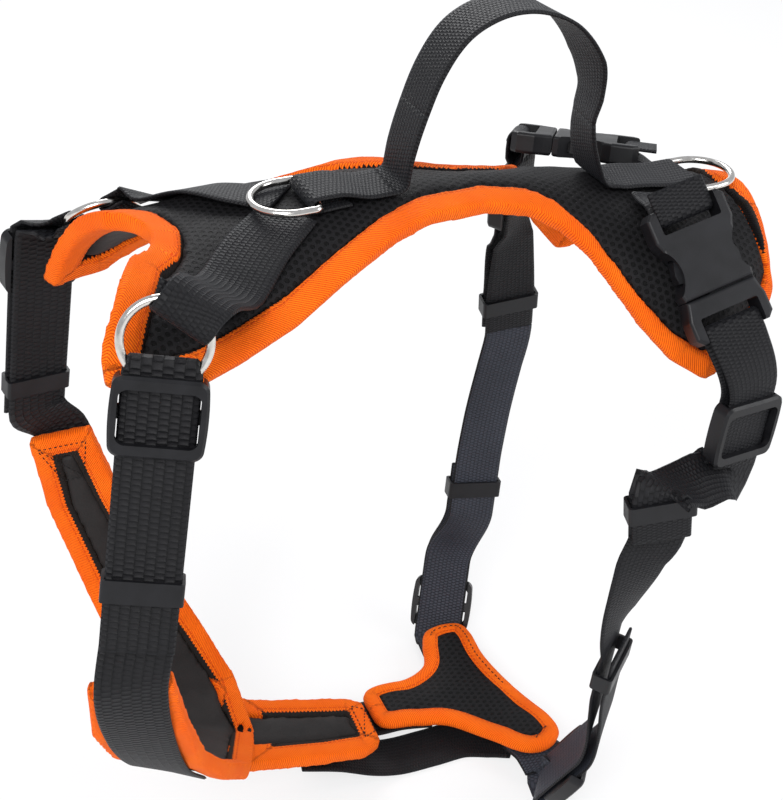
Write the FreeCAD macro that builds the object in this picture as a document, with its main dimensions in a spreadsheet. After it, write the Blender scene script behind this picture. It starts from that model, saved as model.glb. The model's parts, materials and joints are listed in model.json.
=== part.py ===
import FreeCAD, Part
import Sketcher
import PartDesign
import math
import os

# A no pull dog harness: a padded back panel with a grab handle and two lead rings, shoulder
# straps on round rings, a padded chest sling, girth straps with side release buckles and a
# three lobed belly pad. Millimetres, +Z up, -X towards the neck, +X towards the tail,
# -Y the dog's left side. The harness stands on its belly strap, so the floor is Z = 0.

V = FreeCAD.Vector
doc = FreeCAD.newDocument("harness")

# ------------------------------------------------------------------ driving sizes
SIZES = {
    # webbing and panels
    "webbing_width": 25.0,
    "webbing_thick": 1.4,
    "layer_pitch": 5.0,
    "running_gap": 0.3,
    "panel_thick": 5.0,
    "binding_thick": 7.0,
    "binding_width": 11.0,
    "pad_thick": 5.0,
    # where the harness stands in its own frame
    "origin_x": -19.3,
    "origin_y": 0.6,
    # rings
    "wire": 3.0,
    "dee_inner": 26.0,
    "dee_leg": 7.5,
    "dee_corner": 2.4,
    "ring_inner": 26.0,
    "fold_width": 22.0,
    # slider (tri-glide)
    "slider_length": 28.0,
    "slider_width": 32.4,
    "slider_side_radius": 110.0,
    "slider_bar": 4.4,
    "slider_window": 27.0,
    "slider_corner": 4.0,
    "slider_cap": 2.4,
    "slider_bridge": 5.0,
    # keeper
    "keeper_width": 28.6,
    "keeper_length": 8.7,
    "keeper_wall": 1.2,
    # buckle
    "buckle_width": 35.0,
    "buckle_mouth": 31.0,
    "buckle_thick": 9.0,
    "socket_length": 37.0,
    "plug_length": 18.0,
    "buckle_slot": 6.0,
    "buckle_bar": 4.0,
    "bar_thick": 3.0,
    "prong_length": 20.0,
    "prong_thick": 2.6,
    "prong_high": 4.6,
}

sheet = doc.addObject("Spreadsheet::Sheet", "sizes")
for row, (alias, value) in enumerate(SIZES.items(), start=1):
    sheet.set(f"A{row}", alias)
    sheet.set(f"B{row}", str(value))
    sheet.setAlias(f"B{row}", alias)
doc.recompute()


def size(alias):
    """Value of one named size."""
    return float(sheet.get(alias))


# ------------------------------------------------------------------ placing things
ORIGIN = V(size("origin_x"), size("origin_y"), 0)


def unit(vector):
    """Vector of length one."""
    result = V(vector)
    result.normalize()
    return result


def seat(at, run, outward):
    """Placement with X along the run, Z on the outward side and its origin at a point."""
    x_axis = unit(V(*run))
    y_axis = unit(V(*outward).cross(x_axis))
    z_axis = x_axis.cross(y_axis)
    turn = FreeCAD.Rotation(x_axis, y_axis, z_axis, "XZY")
    return FreeCAD.Placement(V(*at), turn)


def shifted(placement):
    """The same placement seen from the part's own origin."""
    return FreeCAD.Placement(ORIGIN, FreeCAD.Rotation()).multiply(placement)


def plane(body, role):
    """One of the body's own origin planes."""
    return next(item for item in body.Origin.OriginFeatures if item.Role == role)


def new_body(name):
    body = doc.addObject("PartDesign::Body", name)
    body.Label = name
    return body


def new_sketch(body, name, role, geometry, lift=0.0):
    sketch = body.newObject("Sketcher::SketchObject", f"{body.Name}_{name}")
    sketch.AttachmentSupport = [(plane(body, role), "")]
    sketch.MapMode = "FlatFace"
    sketch.AttachmentOffset = FreeCAD.Placement(V(0, 0, lift), FreeCAD.Rotation())
    sketch.addGeometry(geometry, False)
    return sketch


def new_pad(body, name, sketch, length, middle=True):
    """Pad whose length is an expression on the size sheet."""
    pad = body.newObject("PartDesign::Pad", f"{body.Name}_{name}")
    pad.Profile = sketch
    pad.Midplane = middle
    pad.setExpression("Length", length)
    return pad


def new_pocket(body, name, sketch, length, middle=True):
    """Pocket that must take material away."""
    doc.recompute()
    before = body.Shape.Volume
    pocket = body.newObject("PartDesign::Pocket", f"{body.Name}_{name}")
    pocket.Profile = sketch
    pocket.Midplane = middle
    pocket.setExpression("Length", length)
    doc.recompute()
    if body.Shape.Volume > before - 0.1:
        raise RuntimeError(f"{pocket.Name} cuts nothing")
    return pocket


def arc_by_angle(centre, radius, start, end):
    """Arc in the sketch plane, angles in degrees."""
    circle = Part.Circle(V(centre[0], centre[1], 0), V(0, 0, 1), radius)
    return Part.ArcOfCircle(circle, math.radians(start), math.radians(end))


def box_loop(x_low, x_high, y_low, y_high, corner=0.0):
    """Closed rectangle, with rounded corners when a radius is given."""
    if corner <= 0:
        spots = [V(x_low, y_low, 0), V(x_high, y_low, 0), V(x_high, y_high, 0), V(x_low, y_high, 0)]
        return [Part.LineSegment(spots[i], spots[(i + 1) % 4]) for i in range(4)]
    c = corner
    return [
        Part.LineSegment(V(x_low + c, y_low, 0), V(x_high - c, y_low, 0)),
        arc_by_angle((x_high - c, y_low + c), c, 270, 360),
        Part.LineSegment(V(x_high, y_low + c, 0), V(x_high, y_high - c, 0)),
        arc_by_angle((x_high - c, y_high - c), c, 0, 90),
        Part.LineSegment(V(x_high - c, y_high, 0), V(x_low + c, y_high, 0)),
        arc_by_angle((x_low + c, y_high - c), c, 90, 180),
        Part.LineSegment(V(x_low, y_high - c, 0), V(x_low, y_low + c, 0)),
        arc_by_angle((x_low + c, y_low + c), c, 180, 270),
    ]


# ------------------------------------------------------------------ sizes worked out once
WIDTH = size("webbing_width")
THICK = size("webbing_thick")
HALF_PITCH = size("layer_pitch") / 2
GAP = size("running_gap")
LAYER_TOP = HALF_PITCH + THICK / 2
LAYER_LOW = HALF_PITCH - THICK / 2
BINDING = size("binding_width")


def place(body, at, run, outward):
    body.Placement = shifted(seat(at, run, outward))


# ------------------------------------------------------------------ hardware
def slider(name, at, run, outward):
    """Tri-glide: end bars over the outer strap layer, centre bar between the two layers."""
    half_length = size("slider_length") / 2
    half_width = size("slider_width") / 2
    window = size("slider_window") / 2
    inner_end = half_length - size("slider_bar")
    bottom = -(LAYER_LOW - GAP)
    bar_under = LAYER_TOP + GAP
    top = bar_under + size("slider_cap")
    c = size("slider_corner")
    side = size("slider_side_radius")
    body = new_body(name)
    corner_x = half_length - c
    side_y = half_width - side
    corner_y = side_y + math.sqrt((side - c) ** 2 - corner_x ** 2)
    lean = math.degrees(math.asin(corner_x / (side - c)))
    outline = []
    for sign in (1, -1):
        turn = 0 if sign > 0 else 180
        outline += [
            Part.LineSegment(V(sign * half_length, -corner_y, 0), V(sign * half_length, corner_y, 0)),
            arc_by_angle((sign * corner_x, sign * corner_y), c, turn, turn + 90 - lean),
            arc_by_angle((0, sign * side_y), side, turn + 90 - lean, turn + 90 + lean),
            arc_by_angle((-sign * corner_x, sign * corner_y), c, turn + 90 + lean, turn + 180),
        ]
    frame = new_sketch(body, "outline", "XY_Plane", outline, bottom)
    pad = new_pad(body, "frame", frame, "sizes.layer_pitch + sizes.slider_cap", middle=False)
    doc.recompute()
    rim = body.newObject("PartDesign::Chamfer", f"{name}_rim")
    edges = [
        f"Edge{i + 1}"
        for i, edge in enumerate(pad.Shape.Edges)
        if edge.BoundBox.ZMin > top - 0.01
    ]
    rim.Base = (pad, edges)
    rim.setExpression("Size", "sizes.slider_cap / 2.4")
    hole = new_sketch(
        body, "window", "XY_Plane", box_loop(-inner_end, inner_end, -window, window, 0.8 * c))
    new_pocket(body, "opening", hole, "sizes.slider_cap * 10")
    passage = new_sketch(
        body, "channel", "YZ_Plane", box_loop(-window, window, bottom - 1, bar_under))
    new_pocket(body, "passage", passage, "sizes.slider_length + 4")
    bar = new_sketch(body, "centre", "XZ_Plane",
                     box_loop(-size("slider_bridge") / 2, size("slider_bridge") / 2,
                              bottom, LAYER_LOW - GAP, 0.9))
    new_pad(body, "bar", bar, "sizes.slider_window + 1")
    place(body, at, run, outward)
    return body


def keeper(name, at, run, outward):
    """Closed band that holds the strap's tail against its other layer."""
    side = size("keeper_width") / 2
    inner_side = WIDTH / 2 + 2 * GAP
    inner = LAYER_TOP + GAP
    outer = inner + size("keeper_wall")
    body = new_body(name)
    loops = box_loop(-side, side, -outer, outer, 1.6) + box_loop(
        -inner_side, inner_side, -inner, inner, 0.5)
    band = new_sketch(body, "band", "YZ_Plane", loops)
    new_pad(body, "ring", band, "sizes.keeper_length")
    place(body, at, run, outward)
    return body


def dee_ring(name, at, run, outward):
    """Welded dee: straight bar in the webbing at the origin, bow towards +X."""
    half = (size("dee_inner") + size("wire")) / 2
    c = size("dee_corner")
    leg = size("dee_leg")
    body = new_body(name)
    path = new_sketch(body, "path", "XY_Plane", [
        Part.LineSegment(V(0, -half + c, 0), V(0, half - c, 0)),
        arc_by_angle((c, half - c), c, 90, 180),
        Part.LineSegment(V(c, half, 0), V(leg, half, 0)),
        arc_by_angle((leg, 0), half, -90, 90),
        Part.LineSegment(V(leg, -half, 0), V(c, -half, 0)),
        arc_by_angle((c, -half + c), c, 180, 270),
    ])
    section = new_sketch(body, "wire", "XZ_Plane", [Part.Circle(V(0, 0, 0), V(0, 0, 1), 1.5)])
    section.addConstraint(Sketcher.Constraint("Coincident", 0, 3, -1, 1))
    section.addConstraint(Sketcher.Constraint("Radius", 0, 1.5))
    section.setExpression("Constraints[1]", "sizes.wire / 2")
    doc.recompute()
    pipe = body.newObject("PartDesign::AdditivePipe", f"{name}_rod")
    pipe.Profile = section
    pipe.Spine = (path, [f"Edge{i + 1}" for i in range(6)])
    place(body, at, run, outward)
    return body


def round_ring(name, at, run, outward):
    ring = doc.addObject("Part::Torus", name)
    ring.Label = name
    ring.setExpression("Radius1", "sizes.ring_inner / 2 + sizes.wire / 2")
    ring.setExpression("Radius2", "sizes.wire / 2")
    place(ring, at, run, outward)
    return ring


def mirrored_loop(upper):
    """Closed outline from its +Y half, given as points from the -X end to the +X end."""
    lower = [V(p.x, -p.y, 0) for p in reversed(upper)]
    spots = upper + lower
    return [Part.LineSegment(a, b) for a, b in zip(spots, spots[1:] + spots[:1])]


def bar_end_cuts(body, low, high, slot_low, slot_high):
    """Strap slot, and the thinned bar beside it, at one end of a buckle half."""
    reach = WIDTH / 2 + 2 * GAP
    slot = new_sketch(body, "slot", "XY_Plane", box_loop(slot_low, slot_high, -reach, reach, 1.0))
    new_pocket(body, "strap_slot", slot, "sizes.buckle_thick * 2")
    half_bar = size("bar_thick") / 2
    deep = size("buckle_thick")
    for label, floor, roof in (("over", half_bar, deep), ("under", -deep, -half_bar)):
        relief = new_sketch(body, label, "XZ_Plane", box_loop(low, high, floor, roof))
        new_pocket(body, f"relief_{label}", relief, "sizes.webbing_width + 4 * sizes.running_gap")


def socket(name, at, run, outward):
    """Buckle's female half, mouth at the origin, strap bar at the -X end."""
    back = -size("socket_length")
    half = size("buckle_width") / 2
    mouth = size("buckle_mouth") / 2
    body = new_body(name)
    upper = [
        V(back, half - 2.5, 0),
        V(back + 2.5, half, 0),
        V(back + 12, half, 0),
        V(back + 15.5, half - 1.5, 0),
        V(-3, mouth + 0.8, 0),
        V(0, mouth, 0),
    ]
    outline = new_sketch(body, "outline", "XY_Plane", mirrored_loop(upper))
    pad = new_pad(body, "shell", outline, "sizes.buckle_thick")
    doc.recompute()
    soften = body.newObject("PartDesign::Fillet", f"{name}_edges")
    face_z = size("buckle_thick") / 2
    soften.Base = (pad, [
        f"Edge{i + 1}"
        for i, edge in enumerate(pad.Shape.Edges)
        if abs(abs(edge.CenterOfMass.z) - face_z) < 0.01
    ])
    soften.Radius = 1.4
    cavity = size("prong_high") / 2 + GAP
    room = new_sketch(body, "cavity", "YZ_Plane",
                      box_loop(-mouth + 2.2, mouth - 2.2, -cavity, cavity, 0.8))
    new_pocket(body, "room", room, "sizes.prong_length + 5", middle=False)
    for label, sign in (("window_a", 1), ("window_b", -1)):
        scoop = new_sketch(body, label, "XY_Plane",
                           [Part.Circle(V(-11.9, sign * (half + 7.6), 0), V(0, 0, 1), 13.0)])
        new_pocket(body, f"{label}_cut", scoop, "sizes.buckle_thick * 2")
    slot_low = back + size("buckle_bar")
    bar_end_cuts(body, back - 1, slot_low + 1, slot_low, slot_low + size("buckle_slot"))
    place(body, at, run, outward)
    return body


def plug(name, at, run, outward):
    """Buckle's male half: base with strap bar at the +X end and a centre guide."""
    end = size("plug_length")
    half = size("buckle_mouth") / 2
    wide = size("buckle_width") / 2
    body = new_body(name)
    upper = [
        V(GAP, half, 0),
        V(4, half + 0.8, 0),
        V(8, wide, 0),
        V(end - 2.5, wide, 0),
        V(end, wide - 2.5, 0),
    ]
    outline = new_sketch(body, "outline", "XY_Plane", mirrored_loop(upper))
    pad = new_pad(body, "base", outline, "sizes.buckle_thick")
    doc.recompute()
    soften = body.newObject("PartDesign::Fillet", f"{name}_edges")
    face_z = size("buckle_thick") / 2
    soften.Base = (pad, [
        f"Edge{i + 1}"
        for i, edge in enumerate(pad.Shape.Edges)
        if abs(abs(edge.CenterOfMass.z) - face_z) < 0.01
    ])
    soften.Radius = 1.4
    slot_high = end - size("buckle_bar")
    bar_end_cuts(body, slot_high - 1, end + 1, slot_high - size("buckle_slot"), slot_high)
    tongue = new_sketch(body, "tongue", "XY_Plane",
                        mirrored_loop([V(-size("prong_length") - 1, 1.8, 0), V(-5, 3.2, 0), V(1, 4.0, 0)]))
    new_pad(body, "guide", tongue, "sizes.prong_high")
    place(body, at, run, outward)
    return body


def prong(name, sign, at, run, outward):
    """Springy latch arm whose barbed head looks out of the socket's side window."""
    inner = size("buckle_mouth") / 2 - 7.0
    outer = inner + size("prong_thick")
    tip = -size("prong_length")
    body = new_body(name)
    spots = [
        V(0, sign * inner, 0),
        V(0, sign * (outer + 0.6), 0),
        V(-7.2, sign * outer, 0),
        V(-7.6, sign * (outer + 3.2), 0),
        V(-11.0, sign * (outer + 3.6), 0),
        V(-16, sign * (outer + 2.2), 0),
        V(tip, sign * (inner + 1.6), 0),
        V(tip, sign * inner, 0),
    ]
    loop = [Part.LineSegment(a, b) for a, b in zip(spots, spots[1:] + spots[:1])]
    outline = new_sketch(body, "outline", "XY_Plane", loop)
    new_pad(body, "arm", outline, "sizes.prong_high")
    place(body, at, run, outward)
    return body


# ------------------------------------------------------------------ webbing
def soft(name, shape):
    """Sewn piece whose form follows the body, set from the sheet's sizes."""
    piece = doc.addObject("Part::Feature", name)
    piece.Label = name
    piece.Shape = shape
    piece.Placement = FreeCAD.Placement(ORIGIN, FreeCAD.Rotation())
    return piece


def section(station, width, low, high):
    """Rectangle across a strap: station X is the run, Y the width, Z the outward side."""
    half = width / 2
    corners = [V(0, -half, low), V(0, half, low), V(0, half, high), V(0, -half, high)]
    corners = [station.multVec(corner) for corner in corners]
    return Part.makePolygon(corners + corners[:1])


def ribbon(stations, width=WIDTH, low=-THICK / 2, high=THICK / 2):
    """Closed strip of webbing through a row of stations."""
    return Part.makeLoft([section(s, width, low, high) for s in stations], True, True)


def along(frame, run, lift, turn=0.0):
    """Station at a distance along a straight stretch, lifted off its middle layer."""
    local = FreeCAD.Placement(V(run, 0, lift), FreeCAD.Rotation(V(0, 1, 0), turn))
    return frame.multiply(local)


def fold(frame, centre, radius, steps=6):
    """Half turn of a strap round a bar, from the outer layer to the inner one."""
    stations = []
    for step in range(steps + 1):
        angle = 90 + 180 * step / steps
        a = math.radians(angle)
        stations.append(
            along(frame, centre + radius * math.cos(a), radius * math.sin(a), 270 - angle))
    return stations


def between(first, last, count):
    """Stations on a smooth curve that leaves one station and reaches another along their runs."""
    leaving = first.Rotation.multVec(V(1, 0, 0))
    reaching = last.Rotation.multVec(V(1, 0, 0))
    gap = last.Base - first.Base
    row = []
    for step in range(1, count):
        t = step / count
        bow_out = (leaving * gap.Length - gap) * (1 - t)
        bow_in = (gap - reaching * gap.Length) * t
        spot = first.Base + gap * t + (bow_out + bow_in) * t * (1 - t)
        ahead = gap + (bow_out + bow_in) * (1 - 2 * t)
        ahead += (gap * 2 - (leaving + reaching) * gap.Length) * t * (1 - t)
        outward = first.Rotation.slerp(last.Rotation, t).multVec(V(0, 0, 1))
        row.append(seat(spot, ahead, outward))
    return row


def drape(spots):
    """Stations through free points, each given with its outward direction."""
    stations = []
    points = [V(*p) for p, _ in spots]
    for i, (_, outward) in enumerate(spots):
        before = points[max(i - 1, 0)]
        after = points[min(i + 1, len(points) - 1)]
        stations.append(seat(points[i], after - before, outward))
    return stations


# ------------------------------------------------------------------ back panel
# Stations along the back: x, then for the left side and the right side the height of the
# arc's top, the half width and the drop at the edge. The arms stand ahead of x = -80.
BACK = [
    (-112, (325, 61, 36), (310, 57, 42)),
    (-100, (321, 64, 36), (312, 60, 43)),
    (-90, (314.5, 65, 30), (311, 62, 42)),
    (-80, (308.5, 64, 24), (309, 63, 37)),
    (-66, (306.5, 57, 22), (307, 60, 30)),
    (-41, (308, 46, 20), (308, 50, 23)),
    (-19, (309.5, 37, 13), (309.5, 41, 16)),
    (4, (310.5, 28, 6), (310.5, 33, 8)),
    (22, (310.5, 21, 4), (310.5, 27, 6)),
    (48, (308, 17, 3.5), (308, 20, 5)),
    (66, (305, 18, 5), (305, 22, 6)),
    (77, (303, 23.5, 9.5), (303, 29, 9)),
    (85, (301, 33, 16), (301, 40, 13)),
    (99, (298, 52, 38), (298, 55, 27)),
    (110, (296, 59, 50), (296, 60, 42)),
    (124, (293, 62, 57), (293, 62, 56)),
    (140, (289, 59, 49), (289, 59, 49)),
    (156, (287, 52, 38), (287, 52, 38)),
    (166, (287, 43, 31), (287, 43, 31)),
    (172, (286, 28, 17), (286, 28, 17)),
    (175, (286, 14, 7), (286, 14, 7)),
]
MIDDLE = size("panel_thick") / 2


def flank(half_width, drop):
    """Radius and angle of the arc that reaches an edge from the spine."""
    radius = (half_width ** 2 + drop ** 2) / (2 * drop)
    return radius, math.atan2(half_width, radius - drop)


def back_point(station, share, lift):
    """Point across one station: share -1 is the left edge, 0 the spine, 1 the right edge."""
    height, half_width, drop = station[1 if share < 0 else 2]
    radius, angle = flank(half_width, drop)
    turn = share * angle
    level = height - MIDDLE
    return V(station[0], (radius + lift) * math.sin(turn),
             level - radius + (radius + lift) * math.cos(turn))


def back_band(station, low, high, margin=0.0):
    """Closed outline of the panel at one station, narrowed by a margin at each edge."""
    shares = []
    for _, half_width, drop in station[1:]:
        radius, angle = flank(half_width, drop)
        shares.append(max(1 - margin / (radius * angle), 0.02))
    left, right = -shares[0], shares[1]
    top = V(station[0], 0, (station[1][0] + station[2][0]) / 2 - MIDDLE)

    def arc(lift, share):
        spots = [back_point(station, share, lift), back_point(station, share / 2, lift),
                 top + V(0, 0, lift)]
        spots = spots if share < 0 else spots[::-1]
        return Part.Arc(*spots).toShape()

    def line(share):
        return Part.makeLine(*[back_point(station, share, lift) for lift in (high, low)])

    return Part.Wire([arc(high, left), arc(high, right), line(right), arc(low, right),
                      arc(low, left), line(left)])


def back_loft(low, high, margin=0.0):
    return Part.makeLoft([back_band(s, low, high, margin) for s in BACK], True, True)


def neck_notch(margin=0.0):
    """Prism of the neck opening between the two yoke arms, grown by a margin."""
    edge = [(-160, -62), (-112, -58), (-104, -46), (-92, -22)]
    left = [V(x, y, 200) for x, y in edge]
    right = [V(x, -y, 200) for x, y in reversed(edge)]
    curve = Part.Arc(left[-1], V(-80, 0, 200), right[0]).toShape()
    sides = [Part.makePolygon(left), curve, Part.makePolygon(right + left[:1])]
    wire = Part.Wire([e for s in sides for e in s.Edges])
    face = Part.Face(wire)
    if margin:
        face = Part.Face(face.makeOffset2D(margin).OuterWire)
    return face.extrude(V(0, 0, 200))


def back_shapes():
    outline = neck_notch()
    half_binding = size("binding_thick") / 2
    shell = back_loft(-half_binding, half_binding).cut(outline)
    ends = Part.makeBox(BACK[-1][0] - BACK[0][0] - 2 * BINDING, 300, 400,
                        V(BACK[0][0] + BINDING, -150, 100))
    core = back_loft(-9, 9, BINDING).cut(neck_notch(BINDING)).common(ends)
    inner = back_loft(-MIDDLE, MIDDLE, BINDING).cut(neck_notch(BINDING)).common(ends)
    return inner, shell.cut(core)


def on_back(x, share, lift, run=(1, 0, 0)):
    """Station on the panel's top face: a lift above it, running a given way."""
    i = max(k for k in range(len(BACK) - 1) if BACK[k][0] <= x)
    a, b = BACK[i], BACK[i + 1]
    part = (x - a[0]) / (b[0] - a[0])

    def spot(share_here):
        return back_point(a, share_here, MIDDLE) * (1 - part) + back_point(b, share_here, MIDDLE) * part

    here = spot(share)
    across = spot(share + 0.03) - spot(share - 0.03)
    fore = back_point(b, share, MIDDLE) - back_point(a, share, MIDDLE)
    outward = unit(fore.cross(across))
    return seat(here + outward * lift, run, outward)


def seat_across(at, run, across):
    """Placement whose Y is exactly the given direction across the strap."""
    y_axis = unit(V(*across))
    x_axis = V(*run)
    x_axis = unit(x_axis - y_axis * x_axis.dot(y_axis))
    return seat(at, x_axis, x_axis.cross(y_axis))


# ------------------------------------------------------------------ padded strips
def strip_loft(stations, widths, low, high):
    return Part.makeLoft([section(s, w, low, high) for s, w in zip(stations, widths)], True, True)


def trimmed(stations, start, end):
    """The same row of stations, its ends drawn in by a margin."""
    row = list(stations)
    if start:
        row[0] = along(row[0], BINDING, 0)
    if end:
        row[-1] = along(row[-1], -BINDING, 0)
    return row


def padded(strips):
    """Lining core and edge binding of crossing strips: (stations, widths, trim ends)."""
    half_binding = size("binding_thick") / 2
    half_pad = size("pad_thick") / 2
    outer, deep, thin = [], [], []
    for stations, widths, start, end in strips:
        narrow = [w - 2 * BINDING for w in widths]
        inside = trimmed(stations, start, end)
        outer.append(strip_loft(stations, widths, -half_binding, half_binding))
        deep.append(strip_loft(inside, narrow, -half_binding - 1, half_binding + 1))
        thin.append(strip_loft(inside, narrow, -half_pad, half_pad))
    joined = [row[0].multiFuse(row[1:]) for row in (outer, deep, thin)]
    return joined[2], joined[0].cut(joined[1])


def wide_drape(spots):
    """Stations and widths from points given with outward direction and width."""
    return drape([(p, n) for p, n, _ in spots]), [w for _, _, w in spots]


# ------------------------------------------------------------------ where things sit
SIDES = {"left": -1, "right": 1}
BELOW = size("binding_thick") / 2 + GAP + THICK / 2

SLING = [
    ((-121, -82.5, 176), (-0.20, -0.95, 0.05), 30),
    ((-118, -73, 143), (-0.32, -0.86, -0.35), 36),
    ((-110, -56, 108), (-0.42, -0.70, -0.55), 38),
    ((-99, -39, 82), (-0.45, -0.55, -0.70), 43),
    ((-88, -17, 57), (-0.40, -0.30, -0.86), 50),
    ((-80, 8, 44), (-0.25, 0.05, -0.96), 52),
    ((-79, 33, 48), (-0.18, 0.42, -0.88), 50),
    ((-84, 56, 62), (0.00, 0.70, -0.71), 42),
    ((-96, 72, 98), (0.22, 0.86, -0.45), 36),
    ((-107, 81, 140), (0.38, 0.90, -0.18), 34),
    ((-113, 84, 176), (0.30, 0.95, 0.02), 28),
]
TAIL = [
    ((-72, 8, 41), (-0.15, 0.05, -1), 44),
    ((-48, 6, 33), (-0.25, 0.05, -1), 40),
    ((-24, 5, 26), (-0.22, 0.05, -1), 38),
    ((-3, 5, 20), (-0.18, 0.05, -1), 35),
    ((5, 5, 18.5), (-0.15, 0.05, -1), 26),
]
PAD_FRONT = [
    ((66, 14, 10), (0, 0, -1), 46),
    ((40, 16, 10.5), (0, 0, -1), 32),
    ((20, 18, 13), (0, 0, -1), 31),
    ((11, 18, 14), (0, 0, -1), 24),
]
PAD_RIGHT = [
    ((58, 2, 10), (0, 0, -1), 46),
    ((64, 30, 10.5), (0, 0, -1), 33),
    ((69, 54, 13), (0, 0, -1), 29),
    ((70, 58, 13.6), (0, 0, -1), 24),
]
PAD_LEFT = [
    ((56, 21, 10), (0, 0, -1), 46),
    ((67, -3, 10.5), (0, 0, -1), 33),
    ((77, -26, 13), (0, 0, -1), 29),
    ((80, -35, 14), (0, 0, -1), 24),
]

RINGS = {
    "left": ((-92.9, -69.7, 304.2), (-0.22, -0.155, -0.963), (-0.25, -0.94, 0.21)),
    "right": ((-86, 60, 290), (-0.80, 0.42, -0.43), (-0.05, 0.70, 0.71)),
}
SHOULDER = {
    "left": ((-98.4, -73.6, 280.1), (-0.22, -0.155, -0.963), (-0.25, -0.94, 0.21)),
    "right": ((-110, 75.5, 268), (-0.15, 0.14, -0.98), (-0.20, 0.97, 0.18)),
}
KEEPER_AT = {"left": 64, "right": 63}
TAIL_AT = {"left": 88, "right": 80}
BUCKLE = {
    "left": ((127.7, -58.3, 270.6), (0.164, -0.62, -0.766), (-0.10, -0.77, 0.63)),
    "right": ((115, 53.0, 291.8), (-0.82, 0.56, 0.05), (0.10, 0.25, 0.96)),
}
GIRTH_SLIDER = {
    "left": ((133, -79, 218), (-0.10, 0.0, -0.995), (0.16, -0.98, 0.0)),
    "right": ((105, 69, 263), (0.05, 0.20, -0.975), (-0.60, 0.76, 0.14)),
}
GIRTH_KEEPER = {
    "left": ((97, -83, 191), (0.10, 0.0, -0.99), (-0.25, -0.96, 0.0)),
    "right": ((111, 81, 198), (0.10, 0.19, -0.977), (0.10, 0.95, 0.2)),
}
LOWER_KEEPER = {
    "left": ((88, -75, 101), (-0.03, 0.12, -0.99), (0.64, -0.76, 0.0)),
    "right": ((95, 80, 89), (-0.15, -0.106, -0.983), (0.15, 0.98, -0.1)),
}
LOWER_SLIDER = {
    "left": ((77, -60, 24), (-0.25, 0.40, -0.88), (0.75, -0.50, -0.45)),
    "right": ((75, 73, 18.5), (-0.32, -0.42, -0.85), (0.50, 0.80, -0.34)),
}
# How far the lower sliders stand up their straps from the seats that shape the webbing.
LOWER_SLIDER_AT = {"left": -4.5, "right": 0.0}
GIRTH_PATH = {
    "left": {
        "bend": [((124, -81, 203), (0, -1, 0), (-0.45, 0, -0.89), 20),
                 ((111, -82, 201), (-0.1, -1, 0), (-0.50, 0, -0.87), 19)],
        "fall": [((93, -83, 160), (-0.05, -1, 0)), ((88, -80, 130), (0.40, -0.9, 0))],
        "foot": [((79, -47, 8.4), (0.3, -0.35, -0.9)), ((79, -34, 8.6), (0, 0, -1)),
                 ((76, -22, 8.0), (0, 0, -1))],
    },
    "right": {
        "bend": [((107, 75, 236), (-0.25, 0.95, 0.1), (0.1, 0.2, -0.97), 25)],
        "fall": [((109, 85, 160), (0.12, 0.98, 0.05)), ((102, 84, 128), (0.15, 0.98, 0))],
        "foot": [((68, 60, 4.8), (-0.1, 0.3, -0.95)), ((67, 50, 6.0), (0, 0, -1)),
                 ((66, 38, 6.0), (0, 0, -1))],
    },
}
CROSS_END = {
    "left": (124, -0.16, 3.0, (-0.05, 1, 0)),
    "right": (151, 0.36, 2.4, (0.55, -0.83, 0)),
}
DEES = {
    "front_lead_ring": (-19.0, 1),
    "rear_lead_ring": (146.0, -1),
}
DEE_LIFT = HALF_PITCH + GAP + THICK / 2


# ------------------------------------------------------------------ build: panels
inner, edge = back_shapes()
soft("back_panel", inner)
soft("back_panel_binding", edge)
sling_stations, sling_widths = wide_drape(SLING)
tail_stations, tail_widths = wide_drape(TAIL)
inner, edge = padded([
    (sling_stations, sling_widths, True, True),
    (tail_stations, tail_widths, False, True),
])
soft("chest_panel", inner)
soft("chest_panel_binding", edge)
lobes = [wide_drape(lobe) for lobe in (PAD_FRONT, PAD_RIGHT, PAD_LEFT)]
inner, edge = padded([(stations, widths, False, True) for stations, widths in lobes])
soft("belly_pad", inner)
soft("belly_pad_binding", edge)


# ------------------------------------------------------------------ build: shoulders
# The webbing is bunched where it turns round a ring, so that it fits the ring's inside.
BUNCHED = size("fold_width")
FOLD_AT = math.sqrt((size("ring_inner") / 2) ** 2 - (BUNCHED / 2) ** 2) - 2 * GAP + LAYER_LOW
PAST_RING = size("ring_inner") / 2 + size("wire") + 0.6
# The yoke webbing's loop: tilt from the ring's plane, lift, start of the turn, its radius.
YOKE_LOOP = {
    "left": (35.0, 6.7, 8.3, 5.6),
    "right": (0.0, 0.0, FOLD_AT, HALF_PITCH),
}


def turned_over(stations):
    """The same sections in reverse order, each facing the way the strap then runs."""
    half_turn = FreeCAD.Placement(V(), FreeCAD.Rotation(V(0, 1, 0), 180))
    return [station.multiply(half_turn) for station in reversed(stations)]


def widths_of(count, bunched):
    """Strap widths: bunched at the stations in the range, full elsewhere."""
    return [BUNCHED if i in bunched else WIDTH for i in range(count)]


def strap(name, stations, bunched=()):
    widths = widths_of(len(stations), bunched)
    soft(name, strip_loft(stations, widths, -THICK / 2, THICK / 2))


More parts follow.
